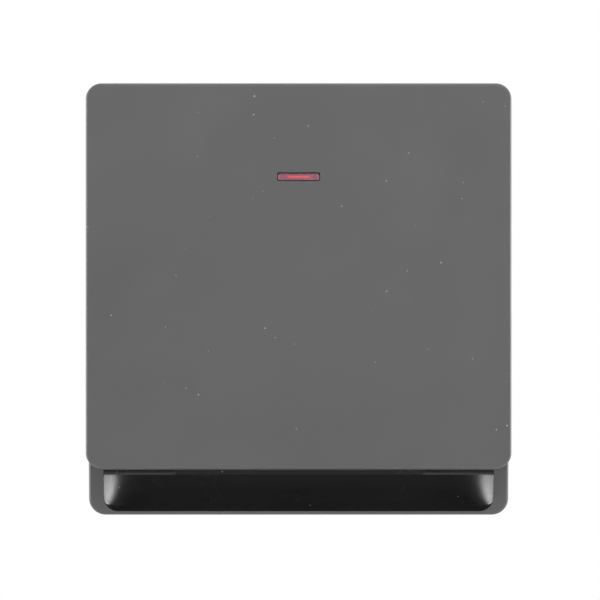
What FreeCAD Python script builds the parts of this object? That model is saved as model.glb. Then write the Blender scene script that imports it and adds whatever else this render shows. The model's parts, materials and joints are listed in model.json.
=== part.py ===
import FreeCAD, Part
import math
import os
from FreeCAD import Vector

os.makedirs("parts", exist_ok=True)

# Double-pole rocker switch on a single-gang plate, in millimetres.
# X is to the right, Y goes into the wall and Z is up, so the front faces -Y.
# The origin is on the wall plane, midway between the two box screws.
# The rocker and the blades are drawn level and then turned to the OFF position.

# Overall plate, the band that holds the finger recess, and the rocker panel above it
PLATE_W = 86.0
PLATE_H = 88.0
RECESS_BAND = 9.93
FRAME_CORNER_R = 3.4
ROCKER_HEAD_STEP = 0.23
ROCKER_CORNER_R = 3.2
ROCKER_EDGE_R = 0.5

# Rocking movement
TILT = 3.0
PIVOT_Y = -3.5
FACE_AHEAD = 8.0
SKIRT_DEPTH = 3.2
TRUNNION_R = 1.5
TRUNNION_CLEAR = 0.05

# Rocker panel walls
FACE_T = 1.8
SKIRT_T = 1.6
INNER_SKIRT_T = 1.2
INNER_SKIRT_AHEAD = 0.7
PANEL_RIB_T = 1.0
PANEL_RIB_H = 1.1
PANEL_RIB_X = 27.0
PANEL_RIB_Z = 18.5
PANEL_PAD = 2.2
PANEL_PAD_Z = 4.8
HOOK_W = 7.0
HOOK_T = 1.2
HOOK_BITE = 0.9
HOOK_FROM_POLE = 4.5

# Frame
RIM_T = 2.0
DECK_T = 1.7
FRAME_GAP = 0.4
FRAME_EDGE = 0.35
WINDOW_SIDE = 5.0
WINDOW_HEAD = 4.0
WINDOW_SILL = 1.07
WINDOW_CORNER_R = 2.0
SKIRT_CLEAR = 0.8
EAR_DROP = 2.3
FRAME_RIB_T = 1.2
TOP_RIB_STEP = 20.0
SIDE_RIB_STEP = 19.0
BOTTOM_RIB_STEP = 23.5

# Finger recess and its liner, whose ends lean outwards to the front
EAR_W = 3.0
SCOOP_HEAD = 0.63
SCOOP_LIP = 0.73
SCOOP_DEPTH = 5.2
SCOOP_END_LEAN = 0.95
SCOOP_END_R = 2.2
SCOOP_CORNER_R = 3.0
LINER_T = 0.75
LINER_HEAD_T = 1.0
LINER_LIP_T = 0.37
LINER_END_T = 0.3
LINER_END_LEAN = 0.8
LINER_LUG_W = 8.0
LINER_LUG_X = 25.0
LINER_LUG_H = 0.8
LINER_LUG_T = 1.0

# Carrier plate that is screwed to the wall box
CARRIER_T = 1.8
CARRIER_CLEAR = 0.3
CARRIER_SILL = 0.13
CARRIER_RIB_T = 1.2
CARRIER_RIB_H = 0.8
CARRIER_RIB_INSET = 6.0
BOX_SCREW_PITCH = 60.3
BOX_HOLE_R = 2.2
BOX_SLOT_L = 7.2
BOX_BOSS_R = 5.2
BOX_BOSS_H = 1.2
SNAP_L = 8.0
SNAP_H = 0.7
SNAP_D = 0.9
SNAP_Z = 20.0

# Indicator
LENS_W = 8.7
LENS_H = 1.8
LENS_Z = 24.9
LENS_CORNER_R = 0.45
LENS_FIT = 0.06
LENS_SUNK = 0.12
LENS_FLANGE = 1.0
LENS_FLANGE_T = 1.0
LENS_HOLDER_T = 0.9
LENS_EDGE = 0.15
LAMP_R = 2.0
LAMP_L = 9.0
SLEEVE_T = 1.1
SLEEVE_L = 6.0
PIPE_HALF = 2.2
PIPE_FIT = 0.1
PIPE_COLLAR = 0.8
PIPE_COLLAR_Y = -2.8
SOCKET_T = 1.2
PIPE_TO_LENS = 0.5
RESISTOR_R = 1.15
RESISTOR_L = 5.0
RESISTOR_TO_RIB = 1.0
RESISTOR_DROP = 4.6
LEAD_R = 0.3
LEAD_BEND = 0.8
LEAD_APART = 0.8
LEAD_TURN = 2.2
LEAD_TO_RIB = 1.55
LEAD_INSET = 1.5

# Switch body
HOUSE_W = 48.0
HOUSE_H = 56.0
HOUSE_CORNER_R = 3.0
WALL_T = 1.8
FLOOR_T = 2.2
COVER_T = 1.8
PARTITION_T = 1.6
FIT = 0.15
CHEEK_T = 2.4
CHEEK_HALF = 3.9
CHEEK_ROUND = 1.7
CRADLE_CLEAR = 0.5
COVER_RIM_T = 1.2
COVER_RIM_H = 1.5
PRESSER_HALF_X = 1.5
PRESSER_HALF_Z = 3.0
HOUSE_BACK_EDGE = 1.0

# Cradle, plungers and springs
POLE_FROM_SIDE = 12.0
CRADLE_HALF_Z = 8.0
CRADLE_AHEAD = 4.0
CRADLE_T = 2.2
BARREL_R = 3.2
BARREL_L = 10.5
BARREL_CLEAR = 0.4
BEAM_CORNER = 1.2
BEAM_RIB_T = 1.2
BEAM_RIB_H = 2.8
WEB_R = 2.6
WEB_T = 1.5
PLUNGER_R = 2.2
PLUNGER_CLEAR = 0.08
PLUNGER_BORE_R = 1.7
PLUNGER_L = 9.1
PLUNGER_WEB = 4.1
NOSE_R = 2.0
NOSE_REACH = 14.1
NOSE_NECK = 2.0
SPRING_R = 1.35
SPRING_WIRE_R = 0.2
BARREL_HEAD = 1.5

# Contacts
NOSE_GAP = 0.2
BLADE_T = 0.8
BLADE_W = 5.0
BLADE_TILT = 6.6
BLADE_LOWER = 7.0
BLADE_UPPER = 13.6
BEAD_R = 0.6
BEAD_GAP = 0.15
SEAT_HALF = 2.4
SEAT_CLEAR = 0.07
BRACKET_T = 1.0
BRACKET_W = 7.8
BRACKET_EAR_H = 1.6
BRACKET_EAR_GAP = 0.3
CONTACT_Z = 12.0
TIP_R = 1.7
TIP_TOP_R = 1.0
TIP_H = 0.8
BLADE_CORNER = 0.8
CONTACT_GAP = 0.05
STRIP_T = 0.8
STRIP_W = 5.0
STRIP_JOG = 1.3
STRIP_SLOT_R = 2.2

# Terminals
BLOCK_W = 9.0
BLOCK_H = 9.0
BLOCK_D = 10.5
BLOCK_EDGE = 0.4
EARTH_W = 7.0
WIRE_R = 2.2
WIRE_Y = 4.0
WIRE_ENTRY_R = 2.9
TERMINAL_SCREW_R = 1.5
TERMINAL_HEAD_R = 2.5
TERMINAL_HEAD_H = 1.5
ACCESS_R = 3.0
THREAD_CLEAR = 0.05
SCREW_BACK_OFF = 0.3
BAY_RIB_T = 1.0

# Screws that clamp plate, cover and housing together
CLAMP_FROM_SIDE = 3.8
CLAMP_FROM_END = 4.4
CLAMP_R = 1.4
CLAMP_L = 13.0
CLAMP_HEAD_R = 2.6
CLAMP_HEAD_H = 1.4
CLAMP_HOLE_CLEAR = 0.2
CLAMP_POST_HALF = 2.7
SCREW_SLOT_HALF = 0.35
SCREW_SLOT_D = 0.8
SCREW_SIDES = 12
WIRE_SIDES = 8

# Sizes that follow from the ones above
SLOPE = math.tan(math.radians(TILT))
COS_TILT = math.cos(math.radians(TILT))
SIN_TILT = math.sin(math.radians(TILT))
ROCKER_HALF_W = PLATE_W / 2
ROCKER_TOP = PLATE_H / 2 - ROCKER_HEAD_STEP
ROCKER_BOTTOM = -PLATE_H / 2 + RECESS_BAND
WINDOW_HALF_W = PLATE_W / 2 - WINDOW_SIDE
WINDOW_TOP = PLATE_H / 2 - WINDOW_HEAD
WINDOW_BOTTOM = ROCKER_BOTTOM + WINDOW_SILL
SCOOP_HALF_W = PLATE_W / 2 - EAR_W
SCOOP_TOP = ROCKER_BOTTOM - SCOOP_HEAD
CARRIER_BOTTOM = ROCKER_BOTTOM - CARRIER_SILL
FACE_Y = PIVOT_Y - FACE_AHEAD
SKIRT_Y = FACE_Y + SKIRT_DEPTH
PANEL_BACK_Y = FACE_Y + FACE_T
POLE_X = HOUSE_W / 2 - POLE_FROM_SIDE
CLAMP_X = HOUSE_W / 2 - CLAMP_FROM_SIDE
BAY_RIB_X = POLE_X - BLOCK_W / 2 - FIT - BAY_RIB_T
RESISTOR_X = BAY_RIB_X - RESISTOR_TO_RIB - RESISTOR_R
CLAMP_Z = HOUSE_H / 2 - CLAMP_FROM_END
FRAME_PEAK_Y = PIVOT_Y - (PIVOT_Y - SKIRT_Y) / COS_TILT + FRAME_GAP / COS_TILT
EAR_BREAK_Z = ROCKER_BOTTOM - EAR_DROP
EAR_Y = FRAME_PEAK_Y - EAR_BREAK_Z * SLOPE
SCOOP_BACK_Y = EAR_Y + SCOOP_DEPTH
LIP_Z = -PLATE_H / 2 + SCOOP_LIP
TRUNNION_HOLE_R = TRUNNION_R + TRUNNION_CLEAR
BARREL_BORE_R = PLUNGER_R + PLUNGER_CLEAR
CRADLE_HALF_X = POLE_X + BARREL_R + 0.2
CHEEK_X0 = CRADLE_HALF_X + CRADLE_CLEAR
CHEEK_X1 = CHEEK_X0 + CHEEK_T
CRADLE_TOP_Y = PIVOT_Y - CRADLE_AHEAD
CRADLE_BACK_Y = CRADLE_TOP_Y + CRADLE_T
BARREL_END_Y = PIVOT_Y + BARREL_L
BARREL_FLOOR_Y = CRADLE_TOP_Y + CRADLE_T + BARREL_HEAD - 1.2
NOSE_Y = PIVOT_Y + NOSE_REACH
PLUNGER_FLOOR_Y = NOSE_Y - PLUNGER_WEB
PLUNGER_OPEN_Y = NOSE_Y - NOSE_NECK - PLUNGER_L
BLADE_Y = NOSE_Y + NOSE_R + NOSE_GAP + BLADE_T
SEAT_Y = BLADE_Y + SEAT_HALF * math.tan(math.radians(BLADE_TILT)) + SEAT_CLEAR
SIN_BLADE = math.sin(math.radians(BLADE_TILT))
COS_BLADE = math.cos(math.radians(BLADE_TILT))
FIXED_TIP_Y = BLADE_Y + TIP_H * COS_BLADE + (CONTACT_Z + TIP_TOP_R) * SIN_BLADE + CONTACT_GAP
FIXED_TIP_Z = CONTACT_Z * COS_BLADE - TIP_H * SIN_BLADE
STRIP_Y = FIXED_TIP_Y + TIP_H
BLOCK_BACK_Y = STRIP_Y + STRIP_T + STRIP_JOG
BLOCK_FRONT_Y = BLOCK_BACK_Y - BLOCK_D
BORE_Y = BLOCK_FRONT_Y + WIRE_Y
FLOOR_Y = BLOCK_BACK_Y + STRIP_T
HOUSE_BACK_Y = FLOOR_Y + FLOOR_T
HOUSE_FRONT_Y = COVER_T
BLOCK_Z1 = HOUSE_H / 2 - WALL_T - FIT
BLOCK_Z0 = BLOCK_Z1 - BLOCK_H
BLOCK_MID_Z = (BLOCK_Z0 + BLOCK_Z1) / 2
LENS_BACK_Y = PANEL_BACK_Y + LENS_FLANGE_T
PIPE_FRONT_Y = PIVOT_Y - (PIVOT_Y - LENS_BACK_Y) * COS_TILT + LENS_Z * SIN_TILT + PIPE_TO_LENS
LAMP_FRONT_Y = COVER_T + 1.0
LAMP_Z = BLOCK_Z1 - LAMP_R - SLEEVE_T


def box(x0, x1, y0, y1, z0, z1):
    """Block between two corners."""
    return Part.makeBox(x1 - x0, y1 - y0, z1 - z0, Vector(x0, y0, z0))


def centred(half_x, half_z, x, z, y0, y1):
    """Block from y0 to y1 about a line along Y."""
    return box(x - half_x, x + half_x, y0, y1, z - half_z, z + half_z)


def cyl(axis, r, a, b, u, v):
    """Round bar along an axis from a to b, centred at the other two coordinates in x, y, z order."""
    base = {"x": Vector(a, u, v), "y": Vector(u, a, v), "z": Vector(u, v, a)}[axis]
    way = {"x": Vector(1, 0, 0), "y": Vector(0, 1, 0), "z": Vector(0, 0, 1)}[axis]
    return Part.makeCylinder(r, b - a, base, way)


def rounded(x0, x1, z0, z1, r, y0, y1):
    """Rounded rectangle in the XZ plane, extruded from y0 to y1."""
    k = r * (1 - math.sqrt(0.5))
    p = [
        Vector(x0 + r, y0, z0), Vector(x1 - r, y0, z0), Vector(x1 - k, y0, z0 + k),
        Vector(x1, y0, z0 + r), Vector(x1, y0, z1 - r), Vector(x1 - k, y0, z1 - k),
        Vector(x1 - r, y0, z1), Vector(x0 + r, y0, z1), Vector(x0 + k, y0, z1 - k),
        Vector(x0, y0, z1 - r), Vector(x0, y0, z0 + r), Vector(x0 + k, y0, z0 + k),
    ]
    edges = []
    for i in range(4):
        a, b, c, d = (p[(3 * i + j) % 12] for j in range(4))
        if (b - a).Length > 1e-6:
            edges.append(Part.makeLine(a, b))
        edges.append(Part.Arc(b, c, d).toShape())
    face = Part.Face(Part.Wire(edges))
    return face.extrude(Vector(0, y1 - y0, 0))


def clipped(x0, x1, z0, z1, c, y0, y1):
    """Rectangle in the XZ plane with its corners cut off, extruded from y0 to y1."""
    points = [
        (x0 + c, z0), (x1 - c, z0), (x1, z0 + c), (x1, z1 - c),
        (x1 - c, z1), (x0 + c, z1), (x0, z1 - c), (x0, z0 + c), (x0 + c, z0),
    ]
    face = Part.Face(Part.makePolygon([Vector(x, y0, z) for x, z in points]))
    return face.extrude(Vector(0, y1 - y0, 0))


def prism_x(points, x0, x1):
    """Polygon of (y, z) points extruded along X."""
    wire = Part.makePolygon([Vector(x0, y, z) for y, z in points + points[:1]])
    return Part.Face(wire).extrude(Vector(x1 - x0, 0, 0))


def skin(rings):
    """Solid whose sides are the flat faces between neighbouring rings of points, with flat ends."""
    faces = [Part.Face(Part.makePolygon(ring + ring[:1])) for ring in (rings[0], rings[-1])]
    for a, b in zip(rings, rings[1:]):
        for i in range(len(a)):
            corners = [a[i - 1], a[i], b[i], b[i - 1], a[i - 1]]
            faces.append(Part.Face(Part.makePolygon(corners)))
    return Part.makeSolid(Part.makeShell(faces))


def few_sided(profile, x, z):
    """Small turned piece along Y with few flat sides, from (radius, y) points."""
    turn = 2 * math.pi / SCREW_SIDES
    return skin([
        [
            Vector(x + r * math.cos(k * turn), y, z + r * math.sin(k * turn))
            for k in range(SCREW_SIDES)
        ]
        for r, y in profile
    ])


def edges_where(shape, test):
    """Edges whose end points and middle all pass a test."""
    found = []
    for e in shape.Edges:
        a, b = e.ParameterRange
        if all(test(e.valueAt(t)) for t in (a, (a + b) / 2, b)):
            found.append(e)
    return found


def rib_places(step):
    """Four places about the middle, a step apart."""
    return [step * k for k in (-1.5, -0.5, 0.5, 1.5)]


def folded_strip(path, t, x, w):
    """Sheet-metal strip: a path of (y, z) points given thickness on its left side and width along X."""
    side = []
    for i, (y, z) in enumerate(path):
        ways = []
        for j in (i - 1, i):
            if 0 <= j < len(path) - 1:
                dy = path[j + 1][0] - path[j][0]
                dz = path[j + 1][1] - path[j][1]
                n = math.hypot(dy, dz)
                ways.append((-dz / n, dy / n))
        if len(ways) == 1:
            ny, nz = ways[0]
            k = t
        else:
            ny = ways[0][0] + ways[1][0]
            nz = ways[0][1] + ways[1][1]
            n = math.hypot(ny, nz)
            ny, nz = ny / n, nz / n
            k = t / (ny * ways[0][0] + nz * ways[0][1])
        side.append((y + ny * k, z + nz * k))
    return prism_x(path + side[::-1], x - w / 2, x + w / 2)


def wire_path(points, r, bend):
    """Bent wire with few flat sides, its corners taken off at 45 degrees and all its joints mitred."""
    pts = [Vector(*p) for p in points]
    line = [pts[0]]
    for a, b, c in zip(pts, pts[1:], pts[2:]):
        line.append(b + (a - b).normalize() * bend)
        line.append(b + (c - b).normalize() * bend)
    line.append(pts[-1])
    ways = [(b - a).normalize() for a, b in zip(line, line[1:])]
    across = ways[0].cross(Vector(1, 0, 0) if abs(ways[0].x) < 0.9 else Vector(0, 0, 1)).normalize()
    other = ways[0].cross(across)
    turn = 2 * math.pi / WIRE_SIDES
    ring = [
        line[0] + across * (r * math.cos(k * turn)) + other * (r * math.sin(k * turn))
        for k in range(WIRE_SIDES)
    ]
    rings = [ring]
    for i in range(1, len(line)):
        way = ways[i - 1]
        mitre = way + ways[i] if i < len(ways) else way
        ring = [p + way * ((line[i] - p).dot(mitre) / way.dot(mitre)) for p in ring]
        rings.append(ring)
    return skin(rings)


def to_rest(shape):
    """Turn a piece of the rocker from level to the OFF position."""
    turned_piece = shape.copy()
    turned_piece.rotate(Vector(0, PIVOT_Y, 0), Vector(1, 0, 0), -TILT)
    return turned_piece


def blade_to_rest(shape):
    """Turn a piece of a blade from level to the open position."""
    turned_piece = shape.copy()
    turned_piece.rotate(Vector(0, BLADE_Y, 0), Vector(1, 0, 0), BLADE_TILT)
    return turned_piece


def wedge_front(offset, z0, z1, y_back, half):
    """Prism behind the ridge-shaped front of the frame, its front moved back by an offset."""
    peak = FRAME_PEAK_Y + offset
    ear = EAR_Y + offset
    points = [
        (y_back, z0), (ear, z0), (ear, EAR_BREAK_Z), (peak, 0),
        (peak + z1 * SLOPE, z1), (y_back, z1),
    ]
    return prism_x(points, -half, half)


def scoop_block(half, z_top, y_back, z_lip, lean):
    """Quarter-round trough, deepest along its upper edge, with leaning ends, and its two end edges."""
    run = z_top - z_lip
    depth = y_back - EAR_Y
    r = (run * run + depth * depth) / (2 * depth)
    yc = y_back - r
    a = Vector(-PLATE_W, yc, z_top)
    t = Vector(-PLATE_W, y_back, z_top)
    m = Vector(-PLATE_W, yc + r * math.sqrt(0.5), z_top - r * math.sqrt(0.5))
    b = Vector(-PLATE_W, yc, z_top - r)
    wire = Part.Wire([Part.makeLine(a, t), Part.Arc(t, m, b).toShape(), Part.makeLine(b, a)])
    trough = Part.Face(wire).extrude(Vector(2 * PLATE_W, 0, 0))
    front = EAR_Y - LINER_END_T
    wide = half + LINER_END_T * lean
    narrow = half - (depth + 1) * lean
    corners = [
        Vector(-wide, front, z_top + 1), Vector(wide, front, z_top + 1),
        Vector(narrow, y_back + 1, z_top + 1), Vector(-narrow, y_back + 1, z_top + 1),
    ]
    between = Part.Face(Part.makePolygon(corners + corners[:1])).extrude(Vector(0, 0, -2 * run - 2))
    block = trough.common(between)
    ends = edges_where(block, lambda p: (
        abs(math.hypot(p.y - yc, p.z - z_top) - r) < 1e-4
        and abs(abs(p.x) - half + (p.y - EAR_Y) * lean) < 1e-4
    ))
    return block, ends


def recess_outline(inset):
    """Upright prism with round lower corners, which trims the recess as seen from the front."""
    half = SCOOP_HALF_W - inset
    return rounded(
        -half, half, LIP_Z + inset, 0, SCOOP_CORNER_R - inset, EAR_Y - SCOOP_DEPTH, SCOOP_BACK_Y + 1,
    )


def make_liner_space():
    """Outside of the recess liner, which the frame is cut to."""
    block, _ = scoop_block(SCOOP_HALF_W, SCOOP_TOP, SCOOP_BACK_Y, LIP_Z, LINER_END_LEAN)
    return block.common(recess_outline(0))


def make_surround_frame():
    half_w = PLATE_W / 2
    half_h = PLATE_H / 2
    outline = rounded(-half_w, half_w, -half_h, half_h, FRAME_CORNER_R, FACE_Y, 0)
    frame = wedge_front(0, -half_h, half_h, 0, half_w).common(outline).removeSplitter()
    front = edges_where(frame, lambda p: p.y < EAR_Y + 0.6 and (
        abs(abs(p.x) - half_w) < FRAME_CORNER_R and abs(abs(p.z) - half_h) < FRAME_CORNER_R
        or abs(abs(p.x) - half_w) < 1e-4
        or abs(abs(p.z) - half_h) < 1e-4
    ))
    frame = frame.makeChamfer(FRAME_EDGE, front)
    inner = wedge_front(DECK_T, -half_h + RIM_T, half_h - RIM_T, 1, half_w - RIM_T)
    inner = inner.common(rounded(
        -half_w + RIM_T, half_w - RIM_T, -half_h + RIM_T, half_h - RIM_T,
        FRAME_CORNER_R - RIM_T, FACE_Y, 1,
    ))
    frame = frame.cut(inner)
    ribs = []
    rib = FRAME_RIB_T / 2
    into_rim = RIM_T / 2
    for z in rib_places(SIDE_RIB_STEP):
        ribs.append(box(-half_w + into_rim, -WINDOW_HALF_W, FACE_Y, -CARRIER_T, z - rib, z + rib))
        ribs.append(box(WINDOW_HALF_W, half_w - into_rim, FACE_Y, -CARRIER_T, z - rib, z + rib))
    for x in rib_places(TOP_RIB_STEP):
        ribs.append(box(x - rib, x + rib, FACE_Y, -CARRIER_T, WINDOW_TOP, half_h - into_rim))
    for x in rib_places(BOTTOM_RIB_STEP):
        sill = CARRIER_BOTTOM + CARRIER_CLEAR
        ribs.append(box(x - rib, x + rib, FACE_Y, -CARRIER_T, sill, WINDOW_BOTTOM))
    solid_front = wedge_front(DECK_T / 2, -half_h, half_h, 0, half_w).common(outline)
    frame = frame.fuse([one.common(solid_front) for one in ribs])
    frame = frame.cut(rounded(
        -WINDOW_HALF_W, WINDOW_HALF_W, WINDOW_BOTTOM, WINDOW_TOP, WINDOW_CORNER_R, FACE_Y, 1,
    ))
    for side in (-1, 1):
        for z in (-SNAP_Z, SNAP_Z):
            bump = prism_x([(0, 0), (-SNAP_D, 0), (-SNAP_D / 2, SNAP_H)], -SNAP_L / 2, SNAP_L / 2)
            bump.rotate(Vector(0, 0, 0), Vector(0, 1, 0), -90 * side)
            bump.translate(Vector(side * (half_w - RIM_T), -0.1, z))
            frame = frame.fuse(bump)
    return frame.cut(make_liner_space()).removeSplitter()


def make_scoop_liner():
    front_cut = box(-PLATE_W, PLATE_W, EAR_Y - 2 * SCOOP_DEPTH, EAR_Y, -PLATE_H, 0)
    shell = make_liner_space().cut(front_cut)
    hollow, ends = scoop_block(
        SCOOP_HALF_W - LINER_END_T, SCOOP_TOP - LINER_HEAD_T, SCOOP_BACK_Y - LINER_T,
        LIP_Z + LINER_LIP_T, SCOOP_END_LEAN,
    )
    hollow = hollow.makeFillet(SCOOP_END_R, ends).common(recess_outline(LINER_END_T))
    liner = shell.cut(hollow)
    lugs = []
    y0 = EAR_Y + DECK_T
    y1 = y0 + LINER_LUG_T
    half = LINER_LUG_W / 2
    root = SCOOP_TOP - LINER_T / 3
    for x in (-LINER_LUG_X, 0, LINER_LUG_X):
        lugs.append(prism_x([
            (y0, root), (y0, SCOOP_TOP + LINER_LUG_H), (y1, SCOOP_TOP + LINER_LUG_H / 3), (y1, root),
        ], x - half, x + half))
    return liner.fuse(lugs).removeSplitter()


def make_mounting_plate():
    half_w = PLATE_W / 2 - RIM_T - CARRIER_CLEAR
    top = PLATE_H / 2 - RIM_T - CARRIER_CLEAR
    plate = clipped(-half_w, half_w, CARRIER_BOTTOM, top, FRAME_CORNER_R - RIM_T, -CARRIER_T, 0)
    boss_y = -CARRIER_T - BOX_BOSS_H
    adds = [cyl("y", BOX_BOSS_R, boss_y, 0, side * BOX_SCREW_PITCH / 2, 0) for side in (-1, 1)]
    rib_y = -CARRIER_T - CARRIER_RIB_H
    rib_x = CLAMP_X + CLAMP_HEAD_R + CARRIER_RIB_T + 1
    rib_z0 = CARRIER_BOTTOM + CARRIER_RIB_INSET
    rib_z1 = top - CARRIER_RIB_INSET
    half = CARRIER_RIB_T / 2
    for x in (-rib_x, rib_x):
        adds.append(box(x - half, x + half, rib_y, 0, rib_z0, rib_z1))
    for z in (rib_z0, rib_z1):
        adds.append(box(-rib_x - half, rib_x + half, rib_y, 0, z - half, z + half))
    plate = plate.fuse(adds)
    clamp_r = CLAMP_R + CLAMP_HOLE_CLEAR
    cuts = []
    for side in (-1, 1):
        x = side * BOX_SCREW_PITCH / 2
        half_l = BOX_SLOT_L / 2
        cuts.append(rounded(
            x - half_l, x + half_l, -BOX_HOLE_R, BOX_HOLE_R, BOX_HOLE_R, boss_y - 1, 1,
        ))
        x0, x1 = sorted((side * (POLE_X - BARREL_R - 0.6), side * (CHEEK_X1 + 0.6)))
        window = CHEEK_HALF + 0.4
        cuts.append(clipped(x0, x1, -window, window, 1.0, boss_y, 1))
        for z in (-CLAMP_Z, CLAMP_Z):
            cuts.append(few_sided([(clamp_r, boss_y), (clamp_r, 1)], side * CLAMP_X, z))
        x0, x1 = sorted((side * (half_w + 1), side * (half_w - SNAP_H)))
        half_l = SNAP_L / 2 + CARRIER_CLEAR
        for z in (-SNAP_Z, SNAP_Z):
            cuts.append(box(x0, x1, -SNAP_D - CARRIER_CLEAR, 1, z - half_l, z + half_l))
    socket = PIPE_HALF + SOCKET_T + CARRIER_CLEAR
    cuts.append(centred(socket, socket, 0, LAMP_Z, boss_y, 1))
    return plate.cut(cuts).removeSplitter()


def make_mechanism_cover():
    half_w = HOUSE_W / 2
    half_h = HOUSE_H / 2
    cover = rounded(-half_w, half_w, -half_h, half_h, HOUSE_CORNER_R, 0, COVER_T)
    round_r = TRUNNION_HOLE_R + CHEEK_ROUND
    adds = []
    for side in (-1, 1):
        x0, x1 = sorted((side * CHEEK_X0, side * CHEEK_X1))
        cheek = prism_x(
            [(COVER_T, -CHEEK_HALF), (PIVOT_Y, -round_r), (PIVOT_Y, round_r), (COVER_T, CHEEK_HALF)],
            x0, x1,
        )
        adds.append(cheek.fuse(cyl("x", round_r, x0, x1, PIVOT_Y, 0)))
    block_x = [(-POLE_X, 1), (POLE_X, 1), (-POLE_X, -1), (POLE_X, -1), (0, -1)]
    for x, end in block_x:
        z = end * BLOCK_MID_Z
        adds.append(centred(PRESSER_HALF_X, PRESSER_HALF_Z, x, z, 0, BLOCK_FRONT_Y))
    inset = WALL_T + FIT
    rim_y = COVER_T + COVER_RIM_H
    span_x = CLAMP_X - CLAMP_POST_HALF - COVER_RIM_H
    span_z = CLAMP_Z - CLAMP_POST_HALF - COVER_RIM_H
    for side in (-1, 1):
        z0, z1 = sorted((side * (half_h - inset), side * (half_h - inset - COVER_RIM_T)))
        adds.append(box(-span_x, span_x, 0, rim_y, z0, z1))
        x0, x1 = sorted((side * (half_w - inset), side * (half_w - inset - COVER_RIM_T)))
        adds.append(box(x0, x1, 0, rim_y, -span_z, span_z))
    socket = PIPE_HALF + SOCKET_T
    adds.append(centred(socket, socket, 0, LAMP_Z, PIPE_COLLAR_Y, COVER_T))
    sleeve = LAMP_R + SLEEVE_T
    adds.append(centred(sleeve, sleeve, 0, LAMP_Z, 0, SLEEVE_L))
    cover = cover.fuse(adds)
    cuts = [cyl("x", TRUNNION_HOLE_R, -HOUSE_W, HOUSE_W, PIVOT_Y, 0)]
    pipe = PIPE_HALF + PIPE_FIT
    step_y = LAMP_FRONT_Y - FIT
    cuts.append(centred(pipe, pipe, 0, LAMP_Z, PIPE_COLLAR_Y - 1, step_y))
    lamp = LAMP_R + FIT
    cuts.append(centred(lamp, lamp, 0, LAMP_Z, step_y - 0.1, SLEEVE_L + 1))
    swing = (COVER_T - PIVOT_Y) * SIN_TILT
    clamp_r = CLAMP_R + CLAMP_HOLE_CLEAR
    slot_r = BARREL_R + BARREL_CLEAR
    slot_z = BARREL_R + swing + BARREL_CLEAR
    for side in (-1, 1):
        x = side * POLE_X
        cuts.append(rounded(x - slot_r, x + slot_r, -slot_z, slot_z, slot_r, -1, COVER_T + 1))
        for z in (-CLAMP_Z, CLAMP_Z):
            cuts.append(few_sided([(clamp_r, -1), (clamp_r, COVER_T + 1)], side * CLAMP_X, z))
    return cover.cut(cuts).removeSplitter()


def bay_walls(x, half, end):
    """Two ribs that hold a terminal block of a half width, at the top (1) or the bottom (-1) end."""
    walls = []
    z0, z1 = sorted((end * (BLOCK_Z0 - 0.5), end * (HOUSE_H / 2 - WALL_T / 2)))
    for side in (-1, 1):
        x0, x1 = sorted((x + side * (half + FIT), x + side * (half + FIT + BAY_RIB_T)))
        walls.append(box(x0, x1, BLOCK_FRONT_Y + 1, FLOOR_Y + FLOOR_T / 2, z0, z1))
    return walls


def block_room(x, half, end):
    """Room for a terminal block of a half width, at the top (1) or the bottom (-1) end."""
    z0, z1 = sorted((end * (BLOCK_Z0 - FIT), end * (BLOCK_Z1 + FIT)))
    return box(x - half - FIT, x + half + FIT, BLOCK_FRONT_Y - FIT, FLOOR_Y, z0, z1)


def make_switch_housing():
    half_w = HOUSE_W / 2
    half_h = HOUSE_H / 2
    outer = rounded(-half_w, half_w, -half_h, half_h, HOUSE_CORNER_R, HOUSE_FRONT_Y, HOUSE_BACK_Y)
    back = edges_where(outer, lambda p: abs(p.y - HOUSE_BACK_Y) < 1e-6)
    outer = outer.makeChamfer(HOUSE_BACK_EDGE, back)
    inner = clipped(
        -half_w + WALL_T, half_w - WALL_T, -half_h + WALL_T, half_h - WALL_T,
        HOUSE_CORNER_R - WALL_T, HOUSE_FRONT_Y - 1, FLOOR_Y,
    )
    root_y = FLOOR_Y + FLOOR_T / 2
    adds = []
    for side in (-1, 1):
        for z in (-CLAMP_Z, CLAMP_Z):
            half = CLAMP_POST_HALF
            post = centred(half, half, side * CLAMP_X, z, HOUSE_FRONT_Y, root_y)
            adds.append(post.cut(block_room(side * POLE_X, BLOCK_W / 2, math.copysign(1, z))))
        adds += bay_walls(side * POLE_X, BLOCK_W / 2, 1)
        adds += bay_walls(side * POLE_X, BLOCK_W / 2, -1)
    adds += bay_walls(0, EARTH_W / 2, -1)
    half_t = PARTITION_T / 2
    part_z = BLOCK_Z0 - 1.2
    adds.append(box(-half_t, half_t, COVER_T + 2 * FIT, root_y, -part_z, part_z))
    k = WALL_T / 2
    inside = clipped(
        -half_w + k, half_w - k, -half_h + k, half_h - k, HOUSE_CORNER_R - k,
        HOUSE_FRONT_Y, HOUSE_BACK_Y,
    )
    house = outer.cut(inner).fuse([a.common(inside) for a in adds])
    cuts = []
    thread_r = CLAMP_R + THREAD_CLEAR
    depth = CLAMP_L + 0.5 - CARRIER_T
    for side in (-1, 1):
        for z in (-CLAMP_Z, CLAMP_Z):
            cuts.append(few_sided([(thread_r, 0), (thread_r, depth)], side * CLAMP_X, z))
    for x, end in [(-POLE_X, 1), (POLE_X, 1), (-POLE_X, -1), (POLE_X, -1), (0, -1)]:
        z0, z1 = sorted((end * BLOCK_Z1, end * (half_h + 1)))
        cuts.append(cyl("z", WIRE_ENTRY_R, z0, z1, x, BORE_Y))
        cuts.append(cyl("y", ACCESS_R, FLOOR_Y - 1, HOUSE_BACK_Y + 1, x, end * BLOCK_MID_Z))
    return house.cut(cuts).removeSplitter()


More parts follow.
